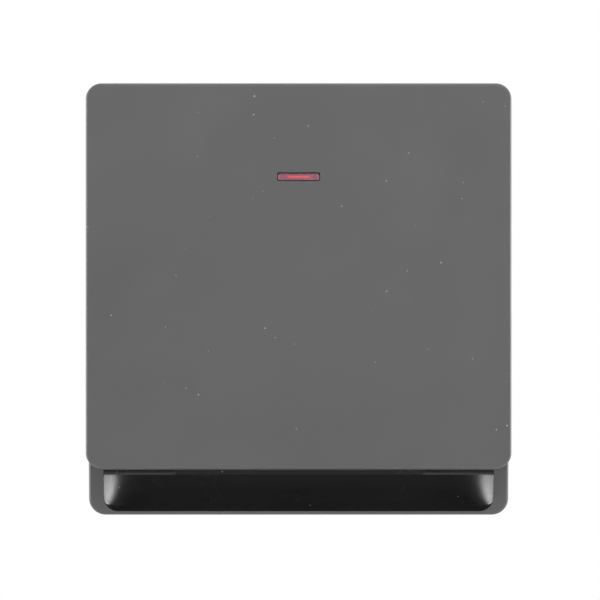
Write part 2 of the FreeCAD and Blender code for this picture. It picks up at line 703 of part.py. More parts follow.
def make_terminal(x, half, end):
    """Brass pillar block with a wire bore along Z and a clamping screw hole from the back."""
    z0, z1 = sorted((end * BLOCK_Z0, end * BLOCK_Z1))
    block = box(x - half, x + half, BLOCK_FRONT_Y, BLOCK_BACK_Y, z0, z1)
    long_edges = edges_where(
        block, lambda p: abs(abs(p.x - x) - half) < 1e-6 and abs(p.y - BLOCK_FRONT_Y) < 1e-6,
    )
    block = block.makeChamfer(BLOCK_EDGE, long_edges)
    block = block.cut(cyl("z", WIRE_R, z0 - 1, z1 + 1, x, BORE_Y))
    hole_r = TERMINAL_SCREW_R + THREAD_CLEAR
    hole = few_sided([(hole_r, BORE_Y), (hole_r, BLOCK_BACK_Y + 1)], x, end * BLOCK_MID_Z)
    return block.cut(hole)


def make_terminal_screw(x, z):
    tip_y = BORE_Y + WIRE_R + SCREW_BACK_OFF
    head_y = FLOOR_Y + 0.2
    end = head_y + TERMINAL_HEAD_H
    shank = few_sided([(TERMINAL_SCREW_R, tip_y), (TERMINAL_SCREW_R, head_y + 0.1)], x, z)
    head = few_sided([(TERMINAL_HEAD_R, head_y), (TERMINAL_HEAD_R, end)], x, z)
    slot = centred(TERMINAL_HEAD_R + 1, SCREW_SLOT_HALF, x, z, end - SCREW_SLOT_D, end + 1)
    return head.fuse(shank).removeSplitter().cut(slot)


def make_clamp_screw(x, z):
    y0 = -CARRIER_T - CLAMP_HEAD_H
    head = few_sided([(CLAMP_HEAD_R, y0), (CLAMP_HEAD_R, -CARRIER_T)], x, z)
    shank = few_sided([(CLAMP_R, -CARRIER_T - 0.1), (CLAMP_R, -CARRIER_T + CLAMP_L)], x, z)
    slot = centred(CLAMP_HEAD_R + 1, SCREW_SLOT_HALF, x, z, y0 - 1, y0 + SCREW_SLOT_D)
    return head.fuse(shank).removeSplitter().cut(slot)


def make_rocker_panel():
    half_w = ROCKER_HALF_W
    panel = rounded(
        -half_w, half_w, ROCKER_BOTTOM, ROCKER_TOP, ROCKER_CORNER_R, FACE_Y, SKIRT_Y,
    )
    front = edges_where(panel, lambda p: abs(p.y - FACE_Y) < 1e-6)
    panel = panel.makeFillet(ROCKER_EDGE_R, front)
    panel = panel.cut(rounded(
        -half_w + SKIRT_T, half_w - SKIRT_T, ROCKER_BOTTOM + SKIRT_T, ROCKER_TOP - SKIRT_T,
        ROCKER_CORNER_R - SKIRT_T, PANEL_BACK_Y, SKIRT_Y + 1,
    ))
    x_in = WINDOW_HALF_W - SKIRT_CLEAR
    z_lo = WINDOW_BOTTOM + SKIRT_CLEAR
    z_hi = WINDOW_TOP - SKIRT_CLEAR
    skirt_y = PIVOT_Y - INNER_SKIRT_AHEAD
    root_y = PANEL_BACK_Y - FACE_T / 4
    t = INNER_SKIRT_T
    ring = clipped(-x_in, x_in, z_lo, z_hi, WINDOW_CORNER_R, root_y, skirt_y)
    ring = ring.cut(box(-x_in + t, x_in - t, root_y - 1, skirt_y + 1, z_lo + t, z_hi - t))
    adds = [ring]
    rib_y = PANEL_BACK_Y + PANEL_RIB_H
    rib = PANEL_RIB_T / 2
    k = t / 2
    for x in (-PANEL_RIB_X, PANEL_RIB_X):
        adds.append(box(x - rib, x + rib, root_y, rib_y, z_lo + k, z_hi - k))
    for z in (-PANEL_RIB_Z, PANEL_RIB_Z):
        adds.append(box(-x_in + k, x_in - k, root_y, rib_y, z - rib, z + rib))
    for x in (-POLE_X, POLE_X):
        for z in (-PANEL_PAD_Z, PANEL_PAD_Z):
            adds.append(centred(PANEL_PAD, PANEL_PAD, x, z, root_y, CRADLE_TOP_Y))
    hook_y = CRADLE_BACK_Y + FIT
    z_leg = CRADLE_HALF_Z + FIT
    for side in (-1, 1):
        leg = prism_x([
            (root_y, z_leg), (hook_y, z_leg), (hook_y, z_leg - HOOK_BITE),
            (hook_y + HOOK_T, z_leg), (hook_y + HOOK_T, z_leg + HOOK_T), (root_y, z_leg + 1.5 * HOOK_T),
        ], -HOOK_W / 2, HOOK_W / 2)
        if side < 0:
            leg.rotate(Vector(0, 0, 0), Vector(0, 1, 0), 180)
        for x in (-POLE_X + HOOK_FROM_POLE, POLE_X - HOOK_FROM_POLE):
            one = leg.copy()
            one.translate(Vector(x, 0, 0))
            adds.append(one)
    lens_x = LENS_W / 2 + LENS_FLANGE + FIT
    lens_z = LENS_H / 2 + LENS_FLANGE + FIT
    wall = LENS_HOLDER_T
    adds.append(centred(lens_x + wall, lens_z + wall, 0, LENS_Z, root_y, LENS_BACK_Y))
    panel = panel.fuse(adds)
    seat = centred(lens_x, lens_z, 0, LENS_Z, PANEL_BACK_Y, SKIRT_Y + 1)
    hole = rounded(
        -LENS_W / 2, LENS_W / 2, LENS_Z - LENS_H / 2, LENS_Z + LENS_H / 2, LENS_CORNER_R,
        FACE_Y - 1, PANEL_BACK_Y + 0.1,
    )
    return panel.cut([seat, hole]).removeSplitter()


def make_lens():
    w = LENS_W / 2 - LENS_FIT
    h = LENS_H / 2 - LENS_FIT
    front_y = FACE_Y + LENS_SUNK
    head = rounded(
        -w, w, LENS_Z - h, LENS_Z + h, LENS_CORNER_R - LENS_FIT, front_y, LENS_BACK_Y,
    )
    front = edges_where(head, lambda p: abs(p.y - front_y) < 1e-6)
    head = head.makeChamfer(LENS_EDGE, front)
    w = LENS_W / 2 + LENS_FLANGE
    h = LENS_H / 2 + LENS_FLANGE
    flange = centred(w, h, 0, LENS_Z, PANEL_BACK_Y, LENS_BACK_Y)
    return head.fuse(flange).removeSplitter()


def make_cradle():
    half_x = CRADLE_HALF_X
    beam = clipped(
        -half_x, half_x, -CRADLE_HALF_Z, CRADLE_HALF_Z, BEAM_CORNER, CRADLE_TOP_Y, CRADLE_BACK_Y,
    )
    adds = []
    foot_z = WEB_R + CRADLE_T
    for side in (-1, 1):
        x = side * POLE_X
        adds.append(cyl("y", BARREL_R, CRADLE_TOP_Y + CRADLE_T / 2, BARREL_END_Y, x, 0))
        x0, x1 = sorted((side * (half_x - WEB_T), side * half_x))
        web = prism_x([
            (CRADLE_BACK_Y - 1, -foot_z), (CRADLE_BACK_Y, -foot_z), (PIVOT_Y, -WEB_R),
            (PIVOT_Y, WEB_R), (CRADLE_BACK_Y, foot_z), (CRADLE_BACK_Y - 1, foot_z),
        ], x0, x1)
        adds.append(web.fuse(cyl("x", WEB_R, x0, x1, PIVOT_Y, 0)))
        x0, x1 = sorted((side * (half_x - WEB_T / 2), side * (CHEEK_X1 + 0.2)))
        adds.append(cyl("x", TRUNNION_R, x0, x1, PIVOT_Y, 0))
    inner = POLE_X - BARREL_R / 2
    rib = BEAM_RIB_T / 2
    adds.append(box(-inner, inner, CRADLE_BACK_Y - 1, CRADLE_BACK_Y + BEAM_RIB_H, -rib, rib))
    cradle = beam.fuse(adds)
    bores = []
    for x in (-POLE_X, POLE_X):
        bores.append(cyl("y", BARREL_BORE_R, BARREL_FLOOR_Y, BARREL_END_Y + 1, x, 0))
    return cradle.cut(bores).removeSplitter()


def make_plunger(x):
    """Hollow plunger with a blunt round nose."""
    slope = math.radians(30)
    nose = [
        (NOSE_R * math.cos(k * slope), NOSE_Y + NOSE_R * math.sin(k * slope)) for k in range(3)
    ]
    neck_y = NOSE_Y - NOSE_NECK
    shell = cyl("y", PLUNGER_R, PLUNGER_OPEN_Y, neck_y, x, 0)
    shell = shell.fuse(few_sided([(PLUNGER_R, neck_y)] + nose, x, 0))
    return shell.cut(cyl("y", PLUNGER_BORE_R, PLUNGER_OPEN_Y - 1, PLUNGER_FLOOR_Y, x, 0))


def make_spring(x):
    """Closed envelope of the plunger spring, seated in the barrel and in the plunger."""
    outer = SPRING_R + SPRING_WIRE_R
    inner = SPRING_R - SPRING_WIRE_R
    sleeve = few_sided([(outer, BARREL_FLOOR_Y), (outer, PLUNGER_FLOOR_Y)], x, 0)
    return sleeve.cut(few_sided([(inner, BARREL_FLOOR_Y - 1), (inner, PLUNGER_FLOOR_Y + 1)], x, 0))


def make_blade(x):
    half = BLADE_W / 2
    blade = clipped(
        x - half, x + half, -BLADE_LOWER, BLADE_UPPER, BLADE_CORNER, BLADE_Y - BLADE_T, BLADE_Y,
    )
    bead = cyl("x", BEAD_R, x - half, x + half, BLADE_Y, 0)
    return blade.fuse(bead).removeSplitter()


def make_tip(y, way, x, z):
    """Contact button that stands on the plane y and narrows along +Y or -Y."""
    return few_sided([(TIP_R, y), (TIP_TOP_R, y + way * TIP_H)], x, z)


def make_bracket(x):
    """Folded strip: a raised seat for the blade, then a leg down to the supply terminal."""
    half = BRACKET_W / 2
    base_y = STRIP_Y
    t = BRACKET_T
    foot_z = SEAT_HALF + t
    rise = prism_x([
        (base_y + t, -foot_z - t / 2), (base_y, -foot_z - t / 2), (SEAT_Y, -SEAT_HALF),
        (SEAT_Y, SEAT_HALF), (FLOOR_Y, SEAT_HALF), (FLOOR_Y, SEAT_HALF - t),
        (SEAT_Y + t, SEAT_HALF - t), (SEAT_Y + t, -SEAT_HALF + t / 2), (base_y + t, -foot_z),
    ], x - half, x + half)
    rise = rise.cut(cyl("x", BEAD_R + BEAD_GAP, x - half - 1, x + half + 1, BLADE_Y, 0))
    ears = []
    for side in (-1, 1):
        x0, x1 = sorted((x + side * half, x + side * (BLADE_W / 2 + BRACKET_EAR_GAP)))
        ears.append(box(
            x0, x1, SEAT_Y - BRACKET_EAR_H, SEAT_Y + t / 2, -BRACKET_EAR_H, BRACKET_EAR_H,
        ))
    leg = folded_strip([
        (base_y, -foot_z), (base_y, -BLOCK_Z0 + 1.2 + STRIP_JOG),
        (BLOCK_BACK_Y, -BLOCK_Z0 + 0.6), (BLOCK_BACK_Y, -BLOCK_Z1 + 1.5),
    ], STRIP_T, x, STRIP_W)
    slot = box(
        x - STRIP_SLOT_R, x + STRIP_SLOT_R, BLOCK_BACK_Y - 0.5, FLOOR_Y + 1,
        -BLOCK_Z1, -BLOCK_MID_Z + STRIP_SLOT_R,
    )
    return rise.fuse(ears + [leg.cut(slot)]).removeSplitter()


def make_fixed_contact(x):
    """Folded strip from behind a load terminal to behind the moving contact."""
    strip = folded_strip([
        (BLOCK_BACK_Y, BLOCK_Z1 - 1.5), (BLOCK_BACK_Y, BLOCK_Z0 - 0.6),
        (STRIP_Y, BLOCK_Z0 - 1.2 - STRIP_JOG), (STRIP_Y, FIXED_TIP_Z - TIP_R - 0.7),
    ], STRIP_T, x, STRIP_W)
    slot = box(
        x - STRIP_SLOT_R, x + STRIP_SLOT_R, BLOCK_BACK_Y - 0.5, FLOOR_Y + 1,
        BLOCK_MID_Z - STRIP_SLOT_R, BLOCK_Z1,
    )
    return strip.cut(slot)


def make_light_pipe():
    """Clear guide that widens from the square socket to the slot-shaped lens."""
    k = PIPE_HALF
    front_y = PIPE_COLLAR_Y - PIPE_COLLAR
    neck = centred(k, k, 0, LAMP_Z, front_y, LAMP_FRONT_Y - 2 * FIT - 0.3)
    wide = k + PIPE_COLLAR
    collar = centred(wide, wide, 0, LAMP_Z, front_y, PIPE_COLLAR_Y)
    rings = []
    slot_x = LENS_W / 2 - PIPE_TO_LENS
    slot_z = LENS_H / 2 + PIPE_FIT
    for half_x, half_z, y, z in ((k, k, front_y, LAMP_Z), (slot_x, slot_z, PIPE_FRONT_Y, LENS_Z)):
        corners = [(-half_x, -half_z), (half_x, -half_z), (half_x, half_z), (-half_x, half_z)]
        rings.append([Vector(dx, y, z + dz) for dx, dz in corners])
    return neck.fuse([collar, skin(rings)]).removeSplitter()


def make_lamp():
    y1 = LAMP_FRONT_Y + LAMP_L
    pinch = LAMP_L / 9
    body = few_sided([
        (LAMP_R * 0.6, LAMP_FRONT_Y), (LAMP_R, LAMP_FRONT_Y + pinch),
        (LAMP_R, y1 - 1.5 * pinch), (LAMP_R * 0.7, y1 - 0.6 * pinch),
    ], 0, LAMP_Z)
    pinched = centred(LAMP_R * 0.7, LAMP_R / 4, 0, LAMP_Z, y1 - pinch, y1)
    return body.fuse(pinched).removeSplitter()


def make_resistor():
    return cyl(
        "y", RESISTOR_R, BLOCK_FRONT_Y, BLOCK_FRONT_Y + RESISTOR_L, RESISTOR_X, LAMP_Z - RESISTOR_DROP,
    )


def make_leads():
    x = RESISTOR_X
    z = LAMP_Z - RESISTOR_DROP
    lamp_y = LAMP_FRONT_Y + LAMP_L
    far_y = BLOCK_FRONT_Y + RESISTOR_L + LEAD_TURN
    near_y = BLOCK_FRONT_Y - LEAD_TURN
    end_x = POLE_X - BLOCK_W / 2 + LEAD_INSET
    side_x = LEAD_TO_RIB - BAY_RIB_X
    live = wire_path([
        (-LEAD_APART, lamp_y, LAMP_Z), (-LEAD_APART, far_y, LAMP_Z), (side_x, far_y, LAMP_Z),
        (side_x, near_y, LAMP_Z), (-end_x, near_y, LAMP_Z), (-end_x, BLOCK_FRONT_Y, LAMP_Z),
    ], LEAD_R, LEAD_BEND)
    link = wire_path([
        (LEAD_APART, lamp_y, LAMP_Z), (LEAD_APART, far_y, LAMP_Z), (x, far_y, z),
        (x, BLOCK_FRONT_Y + RESISTOR_L, z),
    ], LEAD_R, LEAD_BEND)
    neutral = wire_path([
        (x, BLOCK_FRONT_Y, z), (x, near_y, z), (end_x, near_y, z), (end_x, BLOCK_FRONT_Y, z),
    ], LEAD_R, LEAD_BEND)
    return [live, link, neutral]


nodes = {
    "surround_frame": make_surround_frame(),
    "scoop_liner": make_scoop_liner(),
    "mounting_plate": make_mounting_plate(),
    "mechanism_cover": make_mechanism_cover(),
    "switch_housing": make_switch_housing(),
    "rocker_panel": to_rest(make_rocker_panel()),
    "indicator_lens": to_rest(make_lens()),
    "rocker_cradle": to_rest(make_cradle()),
    "earth_terminal": make_terminal(0, EARTH_W / 2, -1),
    "neon_lamp": make_lamp(),
    "neon_resistor": make_resistor(),
    "light_pipe": make_light_pipe(),
    "neon_leads": Part.makeCompound(make_leads()),
}
for pole, x in (("live", -POLE_X), ("neutral", POLE_X)):
    nodes["load_" + pole + "_terminal"] = make_terminal(x, BLOCK_W / 2, 1)
    nodes["supply_" + pole + "_terminal"] = make_terminal(x, BLOCK_W / 2, -1)
    nodes[pole + "_plunger"] = to_rest(make_plunger(x))
    nodes[pole + "_spring"] = to_rest(make_spring(x))
    nodes[pole + "_blade"] = blade_to_rest(make_blade(x))
    nodes[pole + "_blade_tip"] = blade_to_rest(make_tip(BLADE_Y, 1, x, CONTACT_Z))
    nodes[pole + "_pivot_bracket"] = make_bracket(x)
    nodes[pole + "_fixed_contact"] = make_fixed_contact(x)
    nodes[pole + "_fixed_tip"] = make_tip(STRIP_Y, -1, x, FIXED_TIP_Z)

nodes["terminal_screws"] = Part.makeCompound(
    [make_terminal_screw(x, z) for x in (-POLE_X, POLE_X) for z in (-BLOCK_MID_Z, BLOCK_MID_Z)]
    + [make_terminal_screw(0, -BLOCK_MID_Z)]
)
nodes["housing_screws"] = Part.makeCompound(
    [make_clamp_screw(x, z) for x in (-CLAMP_X, CLAMP_X) for z in (-CLAMP_Z, CLAMP_Z)]
)

for name, shape in nodes.items():
    shape.exportStep("parts/" + name + ".step")
    box_of = shape.BoundBox
    print(
        f"{name:24s} solids {len(shape.Solids)} valid {shape.isValid()} volume {shape.Volume:9.2f}"
        f"  x {box_of.XMin:7.2f} {box_of.XMax:7.2f}  y {box_of.YMin:7.2f} {box_of.YMax:7.2f}"
        f"  z {box_of.ZMin:7.2f} {box_of.ZMax:7.2f}"
    )
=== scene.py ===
import json
import math
from functools import cache, partial

import bmesh
import bpy
import numpy as np
from bpy.props import FloatProperty, FloatVectorProperty, IntProperty, PointerProperty
from bpy.types import Operator, Panel, PropertyGroup
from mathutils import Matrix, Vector

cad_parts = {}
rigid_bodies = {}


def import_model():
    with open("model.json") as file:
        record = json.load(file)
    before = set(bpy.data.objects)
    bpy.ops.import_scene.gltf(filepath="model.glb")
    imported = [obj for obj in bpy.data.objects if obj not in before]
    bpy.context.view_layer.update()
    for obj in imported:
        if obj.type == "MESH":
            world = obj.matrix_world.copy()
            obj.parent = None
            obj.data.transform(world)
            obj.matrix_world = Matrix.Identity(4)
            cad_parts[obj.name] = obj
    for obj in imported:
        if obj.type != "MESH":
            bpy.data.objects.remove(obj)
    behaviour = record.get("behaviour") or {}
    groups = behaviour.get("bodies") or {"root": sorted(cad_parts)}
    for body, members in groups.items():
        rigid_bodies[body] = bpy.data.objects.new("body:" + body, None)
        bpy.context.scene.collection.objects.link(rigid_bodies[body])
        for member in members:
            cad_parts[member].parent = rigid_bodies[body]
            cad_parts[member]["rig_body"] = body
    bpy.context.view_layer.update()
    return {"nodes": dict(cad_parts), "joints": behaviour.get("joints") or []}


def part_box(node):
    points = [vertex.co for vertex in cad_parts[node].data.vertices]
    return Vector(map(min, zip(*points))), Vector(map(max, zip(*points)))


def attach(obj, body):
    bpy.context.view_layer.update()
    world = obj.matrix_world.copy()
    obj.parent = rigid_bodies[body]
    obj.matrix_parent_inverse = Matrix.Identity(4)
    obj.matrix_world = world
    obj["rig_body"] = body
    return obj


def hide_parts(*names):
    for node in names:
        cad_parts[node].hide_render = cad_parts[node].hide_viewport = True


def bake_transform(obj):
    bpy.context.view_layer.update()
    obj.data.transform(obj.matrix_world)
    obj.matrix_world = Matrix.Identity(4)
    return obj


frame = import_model()

bl_info = {
    "name": "Double-pole rocker switch",
    "version": (1, 0, 0),
    "blender": (4, 5, 0),
    "location": "3D View > Sidebar > Rocker Switch",
    "description": "Dresses the packed switch with finished mouldings, metal parts and studio light",
    "category": "Object",
}

MM = 0.001
TILT = next(joint for joint in frame["joints"] if joint["name"] == "rocker_tilt")
PIVOT = np.array(TILT["pos_m"])
REST_TILT = -math.radians(TILT["range_deg"][1]) / 2
POLES = {"live": -12 * MM, "neutral": 12 * MM}

# Radii that sharp edges are rolled over by
FRAME_ROLL, ROCKER_ROLL, RECESS_ROLL, CRADLE_ROLL = 0.09 * MM, 0.08 * MM, 0.03 * MM, 0.12 * MM
STRIP_ROLL, BUTTON_ROLL, BLOCK_ROLL, GUIDE_ROLL = 0.08 * MM, 0.15 * MM, 0.12 * MM, 0.1 * MM


# Sizes and colours that a user may change

Length = partial(FloatProperty, unit="LENGTH")
Colour = partial(FloatVectorProperty, subtype="COLOR", min=0.0, max=1.0)


class MouldingSettings(PropertyGroup):
    """Colours and surface of the plastic mouldings."""

    plate_colour: Colour(
        name="Plate colour", description="Colour of the rocker and of the frame",
        default=(0.104, 0.104, 0.106))
    plate_roughness: FloatProperty(
        name="Plate roughness", description="How widely the satin surface spreads reflections",
        default=0.46, min=0.05, max=1.0, subtype="FACTOR")
    # The recess colour is in part painted shade: its near-black stands in for the shade and the dark
    # reflections inside the recess
    recess_colour_and_shade: Colour(
        name="Recess colour", description="Colour of the glossy finger recess",
        default=(0.018, 0.018, 0.0185))
    housing_colour: Colour(
        name="Housing colour", description="Colour of the nylon box behind the plate",
        default=(0.024, 0.024, 0.026))
    grain_cells: FloatProperty(
        name="Grain", description="Grains of the moulded surface in one metre", default=3200.0,
        min=100.0)
    grain_depth: Length(
        name="Grain depth", description="Height of the moulded grain", default=0.010 * MM, min=0.0)
    edge_roll: Length(
        name="Edge roll", description="Radius that the edges of plate and housing are rolled by",
        default=0.14 * MM, min=0.0)


class RecessSettings(PropertyGroup):
    """Finger recess: a quarter-round trough between two curved ends."""

    front: Length(name="Front", description="Place of the recess rim along Y", default=-6.0 * MM)
    half_width: Length(
        name="Half width", description="Middle to end of the recess at its rim", default=39.95 * MM)
    top: Length(name="Top", description="Height of the upper wall", default=-35.7 * MM)
    radius: Length(name="Trough radius", description="Radius of the trough", default=8.545 * MM)
    depth: Length(name="Depth", description="Depth at the upper wall", default=4.45 * MM)
    corner: Length(
        name="Corner", description="Radius of the lower corners at the rim", default=2.95 * MM)
    end_slope: FloatProperty(
        name="End slope", description="Depth gained over one unit of distance from an end",
        default=0.60)
    end_curve: Length(
        name="End curve", description="Further depth gained close to an end", default=0.9 * MM)
    end_reach: Length(
        name="End reach", description="Distance from an end over which most of that is gained",
        default=2.0 * MM)
    end_fade: FloatProperty(
        name="End fade", description="Share of an end's depth that is lost down to the lip",
        default=0.35, min=0.0, max=0.9)
    wall: Length(name="Wall", description="Thickness behind the trough", default=0.72 * MM)
    opening_half_width: Length(
        name="Opening half width", description="Middle to end of the frame's opening",
        default=40.0 * MM)
    opening_top: Length(
        name="Opening top", description="Upper edge of the frame's opening", default=-34.7 * MM)
    opening_lip: Length(
        name="Opening lip", description="Lower edge of the frame's opening", default=-43.27 * MM)
    opening_corner: Length(
        name="Opening corner", description="Radius of the opening's lower corners",
        default=3.0 * MM)
    outer_lean: FloatProperty(
        name="Outer lean", description="How far the outer ends lean in over one unit of depth",
        default=0.8)


class LensSettings(PropertyGroup):
    """Indicator lens."""

    face_colour: Colour(
        name="Face colour", description="Colour of the lens over its edges",
        default=(0.265, 0.105, 0.130))
    # Colour of the painted glow: the lens painted brighter where the light guide shines through it
    painted_glow_colour: Colour(
        name="Core colour", description="Colour of the lens in front of the light guide",
        default=(0.66, 0.11, 0.135))
    dome: Length(
        name="Dome", description="Height of the lens face over its edge", default=0.05 * MM)


class MetalSettings(PropertyGroup):
    """Colours of the metal parts, and sizes of threads and springs."""

    brass: Colour(name="Brass", description="Terminal blocks", default=(0.72, 0.53, 0.26))
    copper: Colour(name="Copper alloy", description="Blades and strips", default=(0.70, 0.37, 0.23))
    steel: Colour(name="Plated steel", description="Screws", default=(0.60, 0.59, 0.56))
    thread_pitch: Length(
        name="Thread pitch", description="Distance between two turns of the terminal threads",
        default=0.8 * MM, min=0.1 * MM)
    spring_wire: Length(
        name="Spring wire", description="Radius of the plunger springs' wire", default=0.2 * MM,
        min=0.05 * MM)
    spring_turns: IntProperty(
        name="Spring turns", description="Open turns of each plunger spring", default=8, min=2)


class StudioSettings(PropertyGroup):
    """Camera, floor and surrounding light."""

    distance: Length(
        name="Camera distance", description="From the rocker's pivot to the camera", default=0.488,
        min=0.1)
    side_step: Length(name="Side step", description="Camera place along X", default=0.28 * MM)
    lens: FloatProperty(
        name="Lens", description="Focal length in millimetres on a sensor 36 wide", default=142.7,
        min=20.0)
    floor_drop: Length(name="Floor", description="Height of the floor", default=-0.25)
    ambient: FloatProperty(
        name="Ambient", description="Level of the light from the front", default=0.13, min=0.0)
    front_glow: FloatProperty(
        name="Room behind the camera", description="Level of the room that glossy faces see",
        default=0.10, min=0.0)


# Surfaces

def grid_quads(rows, columns, ring=False):
    """Corner numbers of the quads between neighbouring points of a grid stored row by row.
    With ring, the last column is joined to the first."""
    row = np.arange(rows - 1)[:, None]
    column = np.arange(columns if ring else columns - 1)[None, :]
    after = (column + 1) % columns
    quads = np.stack(np.broadcast_arrays(
        row * columns + column, row * columns + after,
        (row + 1) * columns + after, (row + 1) * columns + column), -1)
    return quads.reshape(-1, 4)


def stack(rings):
    """Skin over rings of equal length, each a row of points, closed by a face at each end."""
    rings = np.asarray(rings)
    count, size = rings.shape[:2]
    faces = grid_quads(count, size, ring=True).tolist()
    faces += [list(range(size)), list(range((count - 1) * size, count * size))]
    return rings.reshape(-1, 3), faces


def shell(front, back):
    """Two sheets of points of the same size, and quads between their edges."""
    rows, columns = front.shape[:2]
    quads, behind = grid_quads(rows, columns), rows * columns
    number = np.arange(behind).reshape(rows, columns)
    edge = np.concatenate([number[:, 0], number[-1, 1:], number[-2::-1, -1], number[0, -2:0:-1]])
    after = np.roll(edge, -1)
    border = np.stack([edge, edge + behind, after + behind, after], 1)
    faces = quads.tolist() + (quads[:, ::-1] + behind).tolist() + border.tolist()
    return np.concatenate([front.reshape(-1, 3), back.reshape(-1, 3)]), faces


def joined(parts):
    """Several (points, faces) as one, the face numbers of each moved past the points before."""
    all_points, all_faces, start = [], [], 0
    for points, faces in parts:
        all_points.append(points)
        all_faces += [[corner + start for corner in face] for face in faces]
        start += len(points)
    return np.concatenate(all_points), all_faces


def turned(points):
    """Points turned about the X axis through the rocker's pivot to where the rocker rests.
    Each offset's y and z are mixed by the cosine and the sine of the angle."""
    y, z = points[..., 1] - PIVOT[1], points[..., 2] - PIVOT[2]
    out = points.copy()
    out[..., 1] = PIVOT[1] + y * math.cos(REST_TILT) - z * math.sin(REST_TILT)
    out[..., 2] = PIVOT[2] + y * math.sin(REST_TILT) + z * math.cos(REST_TILT)
    return out


def rounded_outline(half_x, half_z, radius, steps=8):
    """Closed outline of a rectangle with round corners, as x and z.
    Each corner is a quarter circle about a centre one radius in from both sides."""
    angle = np.linspace(0, math.pi / 2, steps)[None, :] + np.arange(4)[:, None] * math.pi / 2
    sign_x = np.array([1, -1, -1, 1])[:, None]
    sign_z = np.array([1, 1, -1, -1])[:, None]
    x = sign_x * (half_x - radius) + radius * np.cos(angle)
    z = sign_z * (half_z - radius) + radius * np.sin(angle)
    return x.ravel(), z.ravel()


def turning(profile, x, z, sides=32):
    """Surface of revolution about a line along Y: each (radius, y) of the profile is a ring."""
    profile = np.asarray(profile, float)
    angle = np.arange(sides) * 2 * math.pi / sides
    rings = np.empty((len(profile), sides, 3))
    rings[..., 0] = x + profile[:, :1] * np.cos(angle)
    rings[..., 1] = profile[:, 1:]
    rings[..., 2] = z + profile[:, :1] * np.sin(angle)
    return stack(rings)


def tube(path, radius, sides):
    """Round tube along a path of points: at each point a circle stands square to the path,
    its first axis square to one fixed direction too, so that it never twists."""
    path = np.asarray(path, float)
    way = np.gradient(path, axis=0)
    way /= np.linalg.norm(way, axis=1, keepdims=True)
    fixed = np.array([0.30, 0.55, 0.78])
    across = np.cross(way, fixed)
    across /= np.linalg.norm(across, axis=1, keepdims=True)
    other = np.cross(way, across)
    angle = np.arange(sides) * 2 * math.pi / sides
    rings = (path[:, None, :]
             + radius * np.cos(angle)[None, :, None] * across[:, None, :]
             + radius * np.sin(angle)[None, :, None] * other[:, None, :])
    return stack(rings)


def new_object(name, data):
    """Object at the origin, in the scene."""
    made = bpy.data.objects.new(name, data)
    bpy.context.scene.collection.objects.link(made)
    return made


def add_piece(name, points, faces, body, finish, replaced=(), sharp=35.0):
    """Object at the origin from points and faces, its doubles merged and its faces turned
    outwards. Edges between faces that meet at more than the angle sharp stay sharp."""
    mesh = bpy.data.meshes.new(name)
    mesh.from_pydata(np.asarray(points, float).tolist(), [], faces)
    work = bmesh.new()
    work.from_mesh(mesh)
    bmesh.ops.remove_doubles(work, verts=work.verts, dist=0.001 * MM)
    bmesh.ops.recalc_face_normals(work, faces=work.faces)
    work.to_mesh(mesh)
    work.free()
    mesh.shade_smooth()
    mesh.set_sharp_from_angle(angle=math.radians(sharp))
    mesh.materials.append(finish)
    piece = new_object(name, mesh)
    if body:
        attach(piece, body)
    if replaced:
        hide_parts(*replaced)
    return piece


def roll_edges(piece, width, angle=32.0):
    """Rolls the sharp edges of a piece over and evens the shading of its flat faces."""
    roll = piece.modifiers.new("Rolled edges", "BEVEL")
    roll.width = width
    roll.segments = 2
    roll.limit_method = "ANGLE"
    roll.angle_limit = math.radians(angle)
    piece.modifiers.new("Even shading", "WEIGHTED_NORMAL")


def finished(node, name, finish, width=0.0):
    """Merged copy of a packed node with its flat faces joined, and its edges rolled by a width."""
    source = frame["nodes"][node]
    points = np.empty(len(source.data.vertices) * 3, np.float32)
    source.data.vertices.foreach_get("co", points)
    source.data.calc_loop_triangles()
    triangles = np.empty(len(source.data.loop_triangles) * 3, np.int32)
    source.data.loop_triangles.foreach_get("vertices", triangles)
    mesh = bpy.data.meshes.new(name)
    mesh.from_pydata(points.reshape(-1, 3).tolist(), [], triangles.reshape(-1, 3).tolist())
    work = bmesh.new()
    work.from_mesh(mesh)
    bmesh.ops.remove_doubles(work, verts=work.verts, dist=0.002 * MM)
    bmesh.ops.dissolve_limit(
        work, angle_limit=math.radians(0.3), use_dissolve_boundaries=False,
        verts=work.verts, edges=work.edges, delimit=set())
    work.to_mesh(mesh)
    work.free()
    mesh.shade_smooth()
    mesh.materials.append(finish)
    piece = new_object(name, mesh)
    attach(piece, source["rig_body"])
    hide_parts(node)
    if width:
        roll_edges(piece, width)


# Materials

GREY_SPECK = (0.48, 0.48, 0.47, 1.0)
PALE_SPECK = (0.62, 0.62, 0.62, 1.0)
# The clouds' tone, from where it is darkest to where it is lightest
CLOUDS = (0.3, 0.7)


